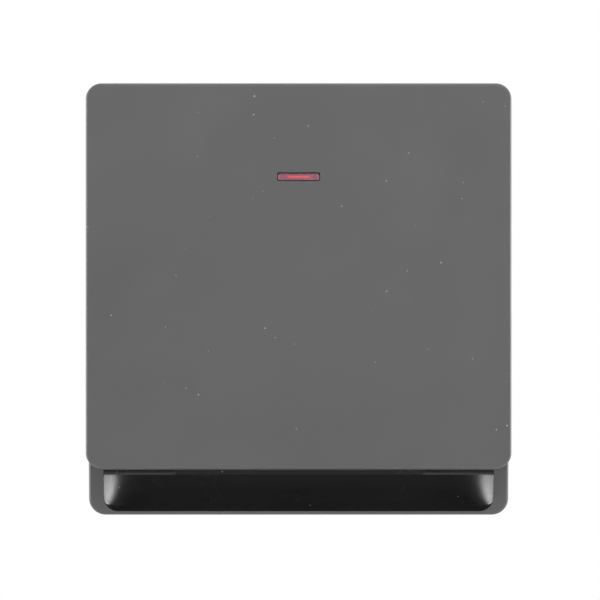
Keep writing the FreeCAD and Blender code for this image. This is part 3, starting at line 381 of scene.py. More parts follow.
class Board:
    """Places and joins the nodes of one material or node group."""

    def __init__(self, tree):
        self.tree = tree

    def put(self, socket, value):
        """Joins a socket to another node's output, or gives it a fixed value."""
        if isinstance(value, bpy.types.NodeSocket):
            self.tree.links.new(value, socket)
        else:
            socket.default_value = value

    def feed(self, node, **inputs):
        """Fills inputs of a node by their names, with _ for a space."""
        for key, value in inputs.items():
            self.put(node.inputs[key.replace("_", " ")], value)
        return node

    def add(self, kind, settings=None, **inputs):
        """New shader node with its settings and inputs."""
        node = self.tree.nodes.new("ShaderNode" + kind)
        for key, value in (settings or {}).items():
            setattr(node, key, value)
        return self.feed(node, **inputs)

    def group(self, tree, **inputs):
        """Outputs of a node group with its own values."""
        return self.add("Group", {"node_tree": tree}, **inputs).outputs

    def maths(self, operation, first, second=0.0, third=0.0):
        """Result of a maths node on one, two or three values."""
        node = self.add("Math", {"operation": operation})
        for socket, value in zip(node.inputs, (first, second, third)):
            self.put(socket, value)
        return node.outputs[0]

    def away(self, value, middle):
        """Distance of a value from a middle."""
        return self.maths("ABSOLUTE", self.maths("SUBTRACT", value, middle))

    def square_past(self, value, limit):
        """Square of how far a value is past a limit, or nothing before it."""
        past = self.maths("MAXIMUM", self.maths("SUBTRACT", value, limit), 0.0)
        return self.maths("MULTIPLY", past, past)

    def mix(self, factor, first, second):
        """Colour between two colours."""
        node = self.add("Mix", {"data_type": "RGBA"})
        for number, value in ((0, factor), (6, first), (7, second)):
            self.put(node.inputs[number], value)
        return node.outputs[2]

    def span(self, value, low, high, start=0.0, end=1.0):
        """Value carried smoothly from one range to another and held at its ends."""
        node = self.add("MapRange", {"interpolation_type": "SMOOTHSTEP"})
        for socket, number in zip(node.inputs, (value, low, high, start, end)):
            self.put(socket, number)
        return node.outputs[0]


def effect_group(name, inputs, outputs):
    """Node group that reads a Vector and named values and gives out named ones.
    Returns its board, the sockets that it reads and those that it gives out."""
    tree = bpy.data.node_groups.new(name, "ShaderNodeTree")
    tree.interface.new_socket(name="Vector", in_out="INPUT", socket_type="NodeSocketVector")
    for label, value in inputs.items():
        kind = "NodeSocketVector" if isinstance(value, tuple) else "NodeSocketFloat"
        socket = tree.interface.new_socket(name=label, in_out="INPUT", socket_type=kind)
        socket.default_value = value
    for label in outputs:
        tree.interface.new_socket(name=label, in_out="OUTPUT", socket_type="NodeSocketFloat")
    entry, out = tree.nodes.new("NodeGroupInput"), tree.nodes.new("NodeGroupOutput")
    return Board(tree), entry.outputs, out.inputs


@cache
def grain_group():
    """Moulded grain: two layers of fine bumps, and slow clouds for small changes of tone."""
    board, read, out = effect_group(
        "Moulded grain", {"Grains": 3000.0, "Clouds": 30.0}, ("Height", "Tone"))
    fine = board.add("TexNoise", Vector=read[0], Scale=read[1], Detail=1.0)
    finer_scale = board.maths("MULTIPLY", read[1], 2.3)
    finer = board.add("TexNoise", Vector=read[0], Scale=finer_scale, Detail=1.0)
    clouds = board.add("TexNoise", Vector=read[0], Scale=read[2], Detail=3.0, Roughness=0.6)
    board.put(out[0], board.maths(
        "MULTIPLY_ADD", finer.outputs[0], 0.5, board.maths("MULTIPLY", fine.outputs[0], 0.8)))
    board.put(out[1], clouds.outputs[0])
    return board.tree


@cache
def dust_group():
    """Dust: a small round speck about some points of a scattered set, each of its own size."""
    board, read, out = effect_group("Dust specks", {"Specks": 250.0, "Size": 0.03}, ("Mask",))
    cells = board.add("TexVoronoi", Vector=read[0], Scale=read[1], Randomness=1.0)
    draw = board.add("SeparateColor", Color=cells.outputs["Color"])
    size = board.maths("MULTIPLY", read[2], board.maths("POWER", draw.outputs[0], 2.0))
    share = board.maths("DIVIDE", cells.outputs["Distance"], board.maths("ADD", size, 1e-4))
    board.put(out[0], board.span(share, 1.25, 0.55))
    return board.tree


@cache
def marks_group():
    """Handling marks: broad patches where fingers polished the surface, and fine hair lines."""
    board, read, out = effect_group(
        "Handling marks", {"Patches": 40.0, "Lines": 120.0}, ("Rub", "Hairs"))
    patches = board.add("TexNoise", Vector=read[0], Scale=read[1], Detail=2.0, Distortion=0.6)
    turn = board.add(
        "Mapping", Vector=read[0], Rotation=(0.3, 0.9, 0.2), Scale=(0.12, 1.0, 1.0))
    lines = board.add("TexVoronoi", {"feature": "DISTANCE_TO_EDGE"}, Vector=turn.outputs[0],
                      Scale=read[2], Randomness=1.0)
    board.put(out[0], board.span(patches.outputs[0], 0.42, 0.68))
    board.put(out[1], board.span(lines.outputs["Distance"], 0.012, 0.0))
    return board.tree


@cache
def metal_group():
    """Worked metal: fine lines along one axis from rolling or turning, and slow tarnish."""
    board, read, out = effect_group(
        "Worked metal", {"Stretch": (1.0, 1.0, 1.0), "Lines": 4000.0, "Tarnish": 260.0},
        ("Streak", "Tarnish"))
    pulled = board.add("VectorMath", {"operation": "MULTIPLY"})
    board.put(pulled.inputs[0], read[0])
    board.put(pulled.inputs[1], read[1])
    streak = board.add("TexNoise", Vector=pulled.outputs[0], Scale=read[2], Detail=2.0)
    tarnish = board.add("TexNoise", Vector=read[0], Scale=read[3], Detail=4.0, Roughness=0.65)
    board.put(out[0], streak.outputs[0])
    board.put(out[1], board.span(tarnish.outputs[0], 0.42, 0.72))
    return board.tree


class Surface(Board):
    """Board of a new material with a Principled shader and Object coordinates."""

    def __init__(self, name):
        self.made = bpy.data.materials.new(name)
        self.made.use_nodes = True
        super().__init__(self.made.node_tree)
        self.tree.nodes.clear()
        self.shader = self.add("BsdfPrincipled")
        self.out = self.add("OutputMaterial", Surface=self.shader.outputs[0])
        self.out.is_active_output = True
        self.where = self.add("TexCoord").outputs["Object"]

    def grain(self, grains, clouds):
        """Height and tone of a moulded grain."""
        return self.group(grain_group(), Vector=self.where, Grains=grains, Clouds=clouds)

    def done(self, height, depth, strength=1.0, **inputs):
        """The material, its shader's inputs filled and its normals disturbed by a height."""
        bump = self.add("Bump", Strength=strength, Distance=depth, Height=height)
        self.feed(self.shader, Normal=bump.outputs[0], **inputs)
        return self.made


def tone(colour, gain):
    """Colour made lighter or darker, with full alpha."""
    return tuple(min(1.0, channel * gain) for channel in colour[:3]) + (1.0,)


def corners(node):
    """Lower and upper corner of a packed node."""
    return [np.array(corner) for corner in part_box(node)]


def moulded_plastic(name, colour, roughness, grains, depth, change, dust=0.0, specular=0.5):
    """Moulded plastic with a fine grain, clouds of tone, rubbed patches and a little dust."""
    board = Surface(name)
    height, cloud = board.grain(grains, 35.0)
    marks = board.group(marks_group(), Vector=board.where, Patches=60.0, Lines=90.0)
    body = board.mix(board.span(cloud, *CLOUDS),
                     tone(colour, 1.0 - change), tone(colour, 1.0 + change))
    if dust:
        specks = board.group(dust_group(), Vector=board.where, Specks=450.0, Size=dust)
        body = board.mix(specks[0], body, GREY_SPECK)
    smoother = -0.05
    worn = board.maths("MULTIPLY_ADD", marks["Rub"], smoother, roughness)
    worn = board.maths("MULTIPLY_ADD", marks["Hairs"], smoother, worn)
    return board.done(height, depth, Base_Color=body, Roughness=worn,
                      Specular_IOR_Level=specular)


@cache
def plate_plastic():
    """Satin plastic of the rocker and the frame."""
    look = bpy.context.scene.switch_mouldings
    return moulded_plastic("Satin plate plastic", look.plate_colour, look.plate_roughness,
                           look.grain_cells, look.grain_depth, change=0.035, dust=0.078)


def gloss_plastic(name, colour):
    """Glossy moulding: a smooth surface with faint ripples, rubbed patches and dust."""
    board = Surface(name)
    height, cloud = board.grain(420.0, 60.0)
    marks = board.group(marks_group(), Vector=board.where, Patches=90.0)
    specks = board.group(dust_group(), Vector=board.where, Specks=330.0, Size=0.045)
    body = board.mix(cloud, tone(colour, 0.8), tone(colour, 1.2))
    roughness, rougher, speck_rougher = 0.245, 0.03, 0.5
    worn = board.maths("MULTIPLY_ADD", marks["Rub"], rougher, roughness)
    worn = board.maths("MULTIPLY_ADD", specks[0], speck_rougher, worn)
    body = board.mix(specks[0], body, PALE_SPECK)
    return board.done(height, 0.002 * MM, Base_Color=body, Roughness=worn, IOR=1.55)


def worked_metal(name, colour, roughness, tarnish, stretch=(1.0, 1.0, 1.0), darker=0.45):
    """Metal with worked lines along one axis and darker, rougher patches of tarnish."""
    board = Surface(name)
    streak, patches = board.group(
        metal_group(), Vector=board.where, Stretch=stretch, Lines=5200.0, Tarnish=420.0)
    bright = board.mix(streak, tone(colour, 0.90), tone(colour, 1.08))
    dull = board.maths("MULTIPLY", patches, tarnish)
    streak_rougher, dull_rougher = 0.14, 0.3
    worn = board.maths("MULTIPLY_ADD", streak, streak_rougher, roughness - streak_rougher / 2)
    worn = board.maths("MULTIPLY_ADD", dull, dull_rougher, worn)
    body = board.mix(dull, bright, tone(colour, darker))
    return board.done(streak, 0.004 * MM, 0.6, Base_Color=body, Roughness=worn, Metallic=1.0)


def clear_body(name, colour, roughness, ior):
    """Clear glass or acrylic with faint waves in its surface."""
    board = Surface(name)
    height, cloud = board.grain(500.0, 120.0)
    return board.done(
        height, 0.003 * MM, 0.4, Transmission_Weight=1.0, IOR=ior,
        Base_Color=board.mix(cloud, tone(colour, 0.96), tone(colour, 1.0)),
        Roughness=board.span(cloud, 0.3, 0.8, roughness, roughness + 0.05))


def lens_material(settings):
    """Red lens: a painted glow in front of the light guide, painted highlights at its ends,
    painted shade at its edge. The shade grows with the distance from a rectangle one corner radius
    in."""
    # The brighter core is a painted glow of the light guide, the paler ends are painted highlights
    # and the darker edge is painted shade
    painted_glow_fades_across, painted_glow_fades_up = (2.5 * MM, 1.8 * MM), (0.30 * MM, 0.14 * MM)
    painted_glow_lift, shade_lift = 0.08 * MM, 0.02 * MM
    painted_end_highlights = (3.75 * MM, 4.05 * MM)
    shade_half_x, shade_half_z, corner, shade_width = 4.22 * MM, 0.66 * MM, 0.45 * MM, 0.13 * MM
    board = Surface("Red lens")
    middle = (sum(corners("indicator_lens")) / 2).tolist()
    place = board.add("SeparateXYZ", Vector=board.where)
    across = board.away(place.outputs[0], middle[0])
    up = board.maths("SUBTRACT", place.outputs[2], middle[2])
    painted_glow = board.maths("MULTIPLY", board.span(across, *painted_glow_fades_across),
                       board.span(board.away(up, painted_glow_lift), *painted_glow_fades_up))
    reach = board.maths("SQRT", board.maths(
        "ADD", board.square_past(across, shade_half_x - corner),
        board.square_past(board.away(up, shade_lift), shade_half_z - corner)))
    height, cloud = board.grain(1500.0, 500.0)
    face = tone(settings.face_colour, 1.0)
    body = board.mix(board.span(cloud, *CLOUDS), tone(face, 0.93), tone(face, 1.07))
    # Painted highlights at the ends, then the painted glow, then the painted shade at the edge
    body = board.mix(board.span(across, *painted_end_highlights), body, tone(face, 1.6))
    body = board.mix(painted_glow, body, tone(settings.painted_glow_colour, 1.0))
    body = board.mix(board.span(reach, corner - shade_width, corner), body, tone(face, 0.10))
    return board.done(height, 0.004 * MM, 0.5, Base_Color=body, Coat_Weight=0.5,
                      Coat_Roughness=0.12, Roughness=board.span(cloud, *CLOUDS, 0.22, 0.30))


# Places of the resistor's rings, as shares of its length, and their colours
RINGS = ((0.22, (0.16, 0.07, 0.03, 1.0)), (0.38, (0.01, 0.01, 0.01, 1.0)),
         (0.54, (0.75, 0.62, 0.05, 1.0)), (0.80, (0.55, 0.38, 0.12, 1.0)))
RING_FADES = (0.05, 0.04)


def resistor_material():
    """Lacquered resistor with coloured rings along its length."""
    board = Surface("Ringed lacquer")
    low, high = corners("neon_resistor")
    place = board.add("SeparateXYZ", Vector=board.where)
    along = board.maths("DIVIDE", board.maths("SUBTRACT", place.outputs[1], float(low[1])),
                        float(high[1] - low[1]))
    height, cloud = board.grain(2600.0, 600.0)
    body = board.mix(cloud, (0.50, 0.36, 0.22, 1.0), (0.60, 0.45, 0.29, 1.0))
    for centre, colour in RINGS:
        body = board.mix(board.span(board.away(along, centre), *RING_FADES), body, colour)
    return board.done(height, 0.006 * MM, 0.5, Base_Color=body,
                      Roughness=board.span(cloud, *CLOUDS, 0.24, 0.34))


# Pieces

class SWITCH_OT_frame(Operator):
    """Builds the frame moulding around the rocker"""

    bl_idname = "switch.frame"
    bl_label = "Frame"

    def execute(self, context):
        finished("surround_frame", "frame_moulding", plate_plastic(),
                 FRAME_ROLL)
        return {"FINISHED"}


def lower_edge(x, half_width, low, corner):
    """Lower edge of an opening at a place x: level, then a quarter circle at each end."""
    into = np.clip(np.abs(x) - (half_width - corner), 0, corner)
    return low - corner + np.sqrt(corner ** 2 - into ** 2)


def recess_shell(recess):
    """Liner of the finger recess: a curved sheet and a second one behind it.
    A share s of the way down from the upper wall to the lip, the trough is
    T = sqrt(r * r - l * l * s * s) - (r - D) deep, with r its radius, D its depth and
    l = sqrt(r * r - (r - D) ** 2). At a distance t from an end, the end is
    E = (a * t + c * (1 - exp(-t / q))) * (1 - f * s * s) deep. The recess is
    T * E / (T ** 4 + E ** 4) ** 0.25 deep, which follows the smaller of the two and blends
    where they meet. The second sheet lies a wall's thickness behind the first, or on the
    line that leans in from the frame's opening, whichever is less deep."""
    end_columns, middle_columns, wall_rows, trough_rows = 52, 14, 8, 40
    no_depth = 1e-24
    wall_growth = 3
    r, deepest = recess.radius, recess.depth
    run = 2 * deepest / recess.end_slope
    fine = recess.half_width - run * (1 - np.cos(np.linspace(0, math.pi / 2, end_columns)))
    half = np.concatenate([fine, np.linspace(fine[-1], 0, middle_columns)[1:]])
    x = np.concatenate([-half, half[-2::-1]])
    lip = math.sqrt(r ** 2 - (r - deepest) ** 2)
    share = np.sin(np.linspace(0, math.asin(lip / r), trough_rows)) * r / lip
    trough = np.maximum(np.sqrt(r ** 2 - (lip * share) ** 2) - (r - deepest), 0)[None, :]
    inward = (recess.half_width - np.abs(x))[:, None]
    ends = (recess.end_slope * inward
            + recess.end_curve * (1 - np.exp(-inward / recess.end_reach)))
    ends = ends * (1 - recess.end_fade * share[None, :] ** 2)
    depth = trough * ends / np.maximum(trough ** 4 + ends ** 4, no_depth) ** 0.25
    front = np.linspace(0, 1, wall_rows)[None, :-1] * depth[:, :1]
    y = recess.front + np.concatenate([front, depth], 1)
    fall = np.concatenate([np.zeros(wall_rows - 1), share])[None, :]
    z = recess.top - fall * lower_edge(x, recess.half_width, lip, recess.corner)[:, None]
    inner = np.stack([np.broadcast_to(x[:, None], y.shape), y, z], -1)
    outer = inner.copy()
    outer[..., 0] *= recess.opening_half_width / recess.half_width
    side = (recess.opening_half_width - np.abs(outer[..., 0])) / recess.outer_lean
    thickness = recess.wall * np.minimum((y - recess.front) / deepest * wall_growth, 1)
    outer[..., 1] = np.minimum(y + thickness, np.maximum(recess.front + side, y))
    reach = lower_edge(outer[:, 0, 0], recess.opening_half_width,
                       recess.opening_top - recess.opening_lip, recess.opening_corner)
    outer[..., 2] = recess.opening_top - fall * reach[:, None]
    return shell(inner, outer)


class SWITCH_OT_recess(Operator):
    """Builds the glossy liner of the finger recess"""

    bl_idname = "switch.recess"
    bl_label = "Recess liner"

    def execute(self, context):
        points, faces = recess_shell(context.scene.switch_recess)
        # The liner takes the recess colour, whose near-black is in part painted shade
        finish = gloss_plastic("Gloss recess plastic", context.scene.switch_mouldings.recess_colour_and_shade)
        piece = add_piece("recess_liner", points, faces, "base", finish,
                          ["scoop_liner"])
        roll_edges(piece, RECESS_ROLL, angle=50.0)
        return {"FINISHED"}


class SWITCH_OT_rocker(Operator):
    """Builds the rocker moulding"""

    bl_idname = "switch.rocker"
    bl_label = "Rocker"

    def execute(self, context):
        finished("rocker_panel", "rocker_moulding", plate_plastic(),
                 ROCKER_ROLL)
        return {"FINISHED"}


def lens_rings(dome):
    """Rings of the lens from the middle of its face to its back: half width, half height, y.
    The face falls with the square of the distance from the middle, a quarter circle rounds its
    edge, and a wider flange stands behind."""
    front, flange, back = -11.38 * MM, -9.7 * MM, -8.7 * MM
    half_x, half_z, edge = 4.29 * MM, 0.84 * MM, 0.16 * MM
    wide_x, wide_z = 5.33 * MM, 1.88 * MM
    face_rings, edge_rings = 7, 5
    rings = []
    for share in np.linspace(0.0, 1.0, face_rings)[1:]:
        inset = edge + (half_z - edge) * (1 - share)
        rings.append((half_x - inset, half_z - inset, front - dome * (1 - share ** 2)))
    for bend in np.linspace(0, math.pi / 2, edge_rings)[1:]:
        inset = edge * (1 - math.sin(bend))
        rings.append((half_x - inset, half_z - inset, front + edge * (1 - math.cos(bend))))
    return rings + [(half_x, half_z, flange), (wide_x, wide_z, flange), (wide_x, wide_z, back),
                    (half_x, half_z, back)]


class SWITCH_OT_lens(Operator):
    """Builds the indicator lens: a slightly domed slot-shaped head on a flange"""

    bl_idname = "switch.lens"
    bl_label = "Indicator lens"

    def execute(self, context):
        settings = context.scene.switch_lens
        middle_z, corner, roundest = 24.9 * MM, 0.39 * MM, 0.8
        rings = []
        for half_x, half_z, y in lens_rings(settings.dome):
            x, z = rounded_outline(half_x, half_z, min(corner, half_z * roundest))
            rings.append(np.stack([x, np.full_like(x, y), middle_z + z], -1))
        points, faces = stack(rings)
        add_piece("lens_moulding", turned(points), faces, "rocker",
                  lens_material(settings), ["indicator_lens"], sharp=50.0)
        return {"FINISHED"}


class SWITCH_OT_carrier(Operator):
    """Builds the plate that is screwed to the wall box"""

    bl_idname = "switch.carrier"
    bl_label = "Mounting plate"

    def execute(self, context):
        grey = moulded_plastic("Carrier plastic", (0.10, 0.10, 0.105), roughness=0.55,
                               grains=2600.0, depth=0.016 * MM, change=0.08)
        finished("mounting_plate", "carrier_plate", grey,
                 context.scene.switch_mouldings.edge_roll)
        return {"FINISHED"}


class SWITCH_OT_housing(Operator):
    """Builds the housing and its cover"""

    bl_idname = "switch.housing"
    bl_label = "Housing and cover"

    def execute(self, context):
        look = context.scene.switch_mouldings
        black = moulded_plastic("Black nylon", look.housing_colour, roughness=0.5,
                                grains=2300.0, depth=0.02 * MM, change=0.12, dust=0.02)
        grey = moulded_plastic("Grey nylon", (0.30, 0.30, 0.31), roughness=0.52,
                               grains=2500.0, depth=0.016 * MM, change=0.06)
        cover_share = 0.8
        finished("switch_housing", "housing_box", black, look.edge_roll)
        finished("mechanism_cover", "housing_cover", grey,
                 look.edge_roll * cover_share)
        return {"FINISHED"}


class SWITCH_OT_cradle(Operator):
    """Builds the rocking cradle and its two plungers"""

    bl_idname = "switch.cradle"
    bl_label = "Cradle and plungers"

    def execute(self, context):
        white = moulded_plastic("White nylon", (0.76, 0.75, 0.71), roughness=0.42,
                                grains=2200.0, depth=0.012 * MM, change=0.03, specular=0.45)
        finished("rocker_cradle", "cradle_moulding", white, CRADLE_ROLL)
        for pole in POLES:
            finished(pole + "_plunger", pole + "_plunger_moulding", white)
        return {"FINISHED"}


def coil(x, y0, y1, radius, wire, turns):
    """Compression spring about a line along Y: the angle grows evenly, and the height stays a
    wire's thickness a turn over the closed turn at each end and rises evenly over the open
    turns between."""
    points_a_turn = 20
    turn = np.linspace(0, turns + 2, int((turns + 2) * points_a_turn) + 1)
    closed = 2 * wire
    pitch = (y1 - y0 - 2 * wire - 2 * closed) / turns
    height = np.interp(turn, [0, 1, turns + 1, turns + 2],
                       [0, closed, closed + pitch * turns, 2 * closed + pitch * turns])
    angle = turn * 2 * math.pi
    return np.stack([x + radius * np.cos(angle), y0 + wire + height, radius * np.sin(angle)], -1)


class SWITCH_OT_springs(Operator):
    """Builds the coil springs that press the plungers on the blades"""

    bl_idname = "switch.springs"
    bl_label = "Plunger springs"

    def execute(self, context):
        metals = context.scene.switch_metals
        steel = worked_metal("Spring steel", (0.50, 0.50, 0.51), roughness=0.30, tarnish=0.25,
                             stretch=(0.2, 0.2, 0.2))
        y0, y1, radius = -5.0 * MM, 6.5 * MM, 1.35 * MM
        for pole, x in POLES.items():
            line = coil(x, y0, y1, radius, metals.spring_wire, metals.spring_turns)
            points, faces = tube(line, metals.spring_wire, sides=8)
            piece = add_piece(pole + "_coil_spring", turned(points), faces, None,
                              steel)
            ends = turned(np.array([[x, y0, 0], [x, y1, 0]]))
            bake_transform(piece)
            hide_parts(pole + "_spring")
        return {"FINISHED"}


class SWITCH_OT_contacts(Operator):
    """Builds the blades, their seats, the fixed strips and the silver contacts"""

    bl_idname = "switch.contacts"
    bl_label = "Contacts"

    def execute(self, context):
        copper = context.scene.switch_metals.copper
        strip = worked_metal("Copper strip", copper, roughness=0.30, tarnish=0.35,
                             stretch=(0.05, 1.0, 1.0))
        silver = worked_metal("Silver contact", (0.84, 0.83, 0.80), roughness=0.24, tarnish=0.3)
        for pole in POLES:
            for part in ("blade", "pivot_bracket", "fixed_contact"):
                node = pole + "_" + part
                finished(node, node + "_strip", strip, STRIP_ROLL)
            for part in ("blade_tip", "fixed_tip"):
                node = pole + "_" + part
                finished(node, node + "_button", silver, BUTTON_ROLL)
        return {"FINISHED"}


class SWITCH_OT_terminals(Operator):
    """Builds the brass pillar terminals"""

    bl_idname = "switch.terminals"
    bl_label = "Terminals"

    def execute(self, context):
        brass = worked_metal("Machined brass", context.scene.switch_metals.brass,
                             roughness=0.26, tarnish=0.4, stretch=(1.0, 1.0, 0.06))
        for node in ("load_live_terminal", "load_neutral_terminal", "supply_live_terminal",
                     "supply_neutral_terminal", "earth_terminal"):
            finished(node, node + "_block", brass, BLOCK_ROLL)
        return {"FINISHED"}


TERMINAL_SCREW = {"head_r": 2.5 * MM, "head_h": 1.5 * MM, "shank_r": 1.5 * MM}
HOUSING_SCREW = {"head_r": 2.6 * MM, "head_h": 1.4 * MM, "shank_r": 1.4 * MM}
SLOT_HALF, SLOT_DEPTH = 0.35 * MM, 0.8 * MM


def slotted_screw(x, z, head_y, tip_y, pitch, head_r, head_h, shank_r):
    """Slotted screw along Y with its head at head_y and its shank towards tip_y.
    The head is rows of points across the slot, each row a chord of the head's circle. Rows
    between the slot's walls lie deeper, and a low dome lifts the middle of the rest. The
    shank's radius falls and rises by the thread's share, once a pitch along it and once a turn
    round it, and shrinks over the last half pitch."""
    head_rows, head_points, sides, rings_a_pitch = 15, 13, 24, 8
    dome_share, thread_share, buried_share, tip_share, taper_share = 0.16, 0.12, 0.7, 0.8, 0.2
    way = 1.0 if tip_y > head_y else -1.0
    across = np.sin(np.linspace(-0.999, 0.999, head_rows) * math.pi / 2) * head_r
    walls = [-SLOT_HALF, SLOT_HALF]
    across = np.unique(np.concatenate([across[np.abs(across) > SLOT_HALF * 1.2], walls]))
    left = int(np.searchsorted(across, -SLOT_HALF)) + 1
    across = np.concatenate([across[:left], walls, across[left:]])
    deep = np.zeros(len(across))
    deep[left:left + 2] = SLOT_DEPTH
    chord = np.sqrt(np.maximum(head_r ** 2 - across ** 2, 0))
    px = np.sin(np.linspace(-1, 1, head_points) * math.pi / 2)[None, :] * chord[:, None]
    dome = dome_share * head_h * (np.hypot(px, across[:, None]) / head_r) ** 3
    py = np.where(deep[:, None] > 0, deep[:, None], dome)
    top = np.stack([x + px, head_y + way * py,
                    z + np.broadcast_to(across[:, None], px.shape)], -1)
    under = top.copy()
    under[..., 1] = head_y + way * head_h
    start = head_y + way * head_h * buried_share
    y = np.linspace(start, tip_y, int(abs(tip_y - start) / pitch * rings_a_pitch) + 2)
    angle = np.arange(sides) * 2 * math.pi / sides
    phase = (y[:, None] - start) * way / pitch - angle[None, :] / (2 * math.pi)
    wave = np.abs(phase - np.floor(phase) - 0.5) * 2
    taper = np.clip(np.abs(tip_y - y) / (0.5 * pitch), 0, 1)[:, None]
    r = shank_r * (1 - thread_share * wave) * (tip_share + taper_share * taper)
    shank = np.stack([x + r * np.cos(angle), np.broadcast_to(y[:, None], r.shape),
                      z + r * np.sin(angle)], -1)
    return joined([shell(top, under), stack(shank)])


class SWITCH_OT_screws(Operator):
    """Builds the terminal screws and the four screws that hold plate and housing together"""

    bl_idname = "switch.screws"
    bl_label = "Screws"

    def execute(self, context):
        metals = context.scene.switch_metals
        steel = worked_metal("Nickel plated steel", metals.steel, roughness=0.22, tarnish=0.3,
                             stretch=(1.0, 0.1, 1.0), darker=0.55)
        low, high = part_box("terminal_screws")
        end_z = high.z - TERMINAL_SCREW["head_r"]
        places = [(x, side * end_z) for side in (1, -1) for x in POLES.values()] + [(0, -end_z)]
        points, faces = joined([
            slotted_screw(x, z, high.y, low.y, metals.thread_pitch, **TERMINAL_SCREW)
            for x, z in places])
        add_piece("terminal_screw_set", points, faces, "base", steel,
                  ["terminal_screws"])
        low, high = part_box("housing_screws")
        half_x, half_z, coarser = 20.2 * MM, 23.6 * MM, 1.25
        points, faces = joined([
            slotted_screw(x, z, low.y, high.y, metals.thread_pitch * coarser, **HOUSING_SCREW)
            for x in (-half_x, half_x) for z in (-half_z, half_z)])
        add_piece("clamp_screw_set", points, faces, "base", steel,
                  ["housing_screws"])
        return {"FINISHED"}


def round_sizes(node):
    """Middle, radius and both ends of a packed node that is round about a line along Y."""
    low, high = corners(node)
    return (low + high) / 2, (high[0] - low[0]) / 2, low[1], high[1]


def lamp_envelope():
    """Glass of the neon lamp: a round nose, a straight side and a foot that is pressed narrow."""
    centre, r, start, end = round_sizes("neon_lamp")
    pole, nose_share, nose_rings = 0.01 * MM, 0.7, 9
    profile = [(max(r * math.sin(a), pole), start + r * nose_share * (1 - math.cos(a)))
               for a in np.linspace(0, math.pi / 2, nose_rings)]
    # Shares of the radius, and of the length before the end
    foot = ((1.0, 0.22), (0.92, 0.15), (0.6, 0.08), (0.3, 0.02))
    profile += [(r * wide, end - before * (end - start)) for wide, before in foot]
    return turning(profile + [(pole, end)], centre[0], centre[2])


def resistor_body():
    """Body of the resistor: an elliptical cap at each end and a slimmer waist between them.
    All places are shares of the length, measured from the middle."""
    centre, r, start, end = round_sizes("neon_resistor")
    cap_start, cap_run, end_square = 0.40, 0.10, 0.02
    waist_end, waist_run, waist_share = 0.30, 0.06, 0.12
    t = np.linspace(0, 1, 41)
    off = np.abs(t - 0.5)
    cap = np.sqrt(np.clip(1 - ((off - cap_start) / cap_run) ** 2, end_square, 1))
    waist = 1 - waist_share * np.clip((waist_end - off) / waist_run, 0, 1)
    radii = r * np.where(off > cap_start, cap, waist)
    profile = np.stack([radii, start + t * (end - start)], -1)
    return turning(profile, centre[0], centre[2], sides=28)


class SWITCH_OT_indicator(Operator):
    """Builds the neon lamp, its resistor and leads, and the light guide"""

    bl_idname = "switch.indicator"
    bl_label = "Lamp parts"

    def execute(self, context):
        glass = clear_body("Lamp glass", (0.96, 0.90, 0.85), roughness=0.02, ior=1.5)
        points, faces = lamp_envelope()
        add_piece("lamp_envelope", points, faces, "base", glass, ["neon_lamp"],
                  sharp=60.0)
        points, faces = resistor_body()
        add_piece("resistor_body", points, faces, "base",
                  resistor_material(), ["neon_resistor"], sharp=60.0)
        wire = worked_metal("Tinned wire", (0.68, 0.68, 0.66), roughness=0.30, tarnish=0.25)
        finished("neon_leads", "lamp_leads", wire)
        acrylic = clear_body("Clear acrylic", (0.95, 0.97, 0.97), roughness=0.05, ior=1.49)
        finished("light_pipe", "light_guide", acrylic, GUIDE_ROLL)
        return {"FINISHED"}


# Studio

# Name, place, target, side in metres and power of each area lamp
LAMPS = (
    ("Right softbox", (0.85, -0.21, 0.05), (0, -0.006, -0.01), 0.34, 7.5),
    ("Left softbox", (-0.85, -0.21, 0.05), (0, -0.006, -0.01), 0.34, 7.0),
    ("Top softbox", (0.05, -0.30, 0.42), (0, -0.01, 0), 0.3, 1.7),
)
FLOOR_FADES = (0.45, 0.72)
# Share of a ray's direction along Y over which the surrounding light changes
HORIZON = (-0.25, 0.35)
BACK_LIGHT = 0.55
WHITE = (1.0, 1.0, 1.0, 1.0)


def place_lamp(name, place, target, size, power):
    """Square area lamp at a place, turned to a target."""
    data = bpy.data.lights.new(name, "AREA")
    data.shape = "RECTANGLE"
    data.size = data.size_y = size
    data.energy = power
    lamp = new_object(name, data)
    lamp.location = place
    way = Vector(target) - Vector(place)
    lamp.rotation_euler = way.to_track_quat("-Z", "Y").to_euler()


def place_camera(studio):
    """Camera that looks square at the rocker where it rests."""
    data = bpy.data.cameras.new("Camera")
    data.lens = studio.lens
    data.sensor_width = 36.0
    data.clip_start, data.clip_end = 0.01, 20.0
    camera = new_object("Camera", data)
    lean = -REST_TILT
    camera.location = (
        studio.side_step,
        PIVOT[1] - studio.distance * math.cos(lean),
        PIVOT[2] + studio.distance * math.sin(lean))
    camera.rotation_euler = (math.pi / 2 - lean, 0.0, 0.0)
    bpy.context.scene.camera = camera


def floor_material():
    """Pale floor that fades to white light far out, and that can't be seen from below."""
    board = Surface("Pale floor")
    far = board.add("VectorMath", {"operation": "LENGTH"}, Vector=board.where).outputs["Value"]
    cloud = board.add("TexNoise", Vector=board.where, Scale=9.0, Detail=2.0).outputs[0]
    board.feed(board.shader, Roughness=0.9, Base_Color=board.mix(
        cloud, (0.80, 0.80, 0.80, 1.0), (0.84, 0.84, 0.84, 1.0)))
    white = board.add("Emission", Color=WHITE, Strength=1.0)
    clear = board.add("BsdfTransparent")
    path = board.add("LightPath").outputs
    seen = board.maths("MAXIMUM", path["Is Camera Ray"], path["Is Glossy Ray"])
    seen = board.maths("MAXIMUM", seen, path["Is Transmission Ray"])
    fade = board.maths("MULTIPLY", board.span(far, *FLOOR_FADES), seen)
    shown = board.shader
    for share, other in ((fade, white), (board.add("NewGeometry").outputs["Backfacing"], clear)):
        mixed = board.add("MixShader")
        for socket, value in zip(mixed.inputs, (share, shown.outputs[0], other.outputs[0])):
            board.put(socket, value)
        shown = mixed
    board.feed(board.out, Surface=shown.outputs[0])
    return board.made


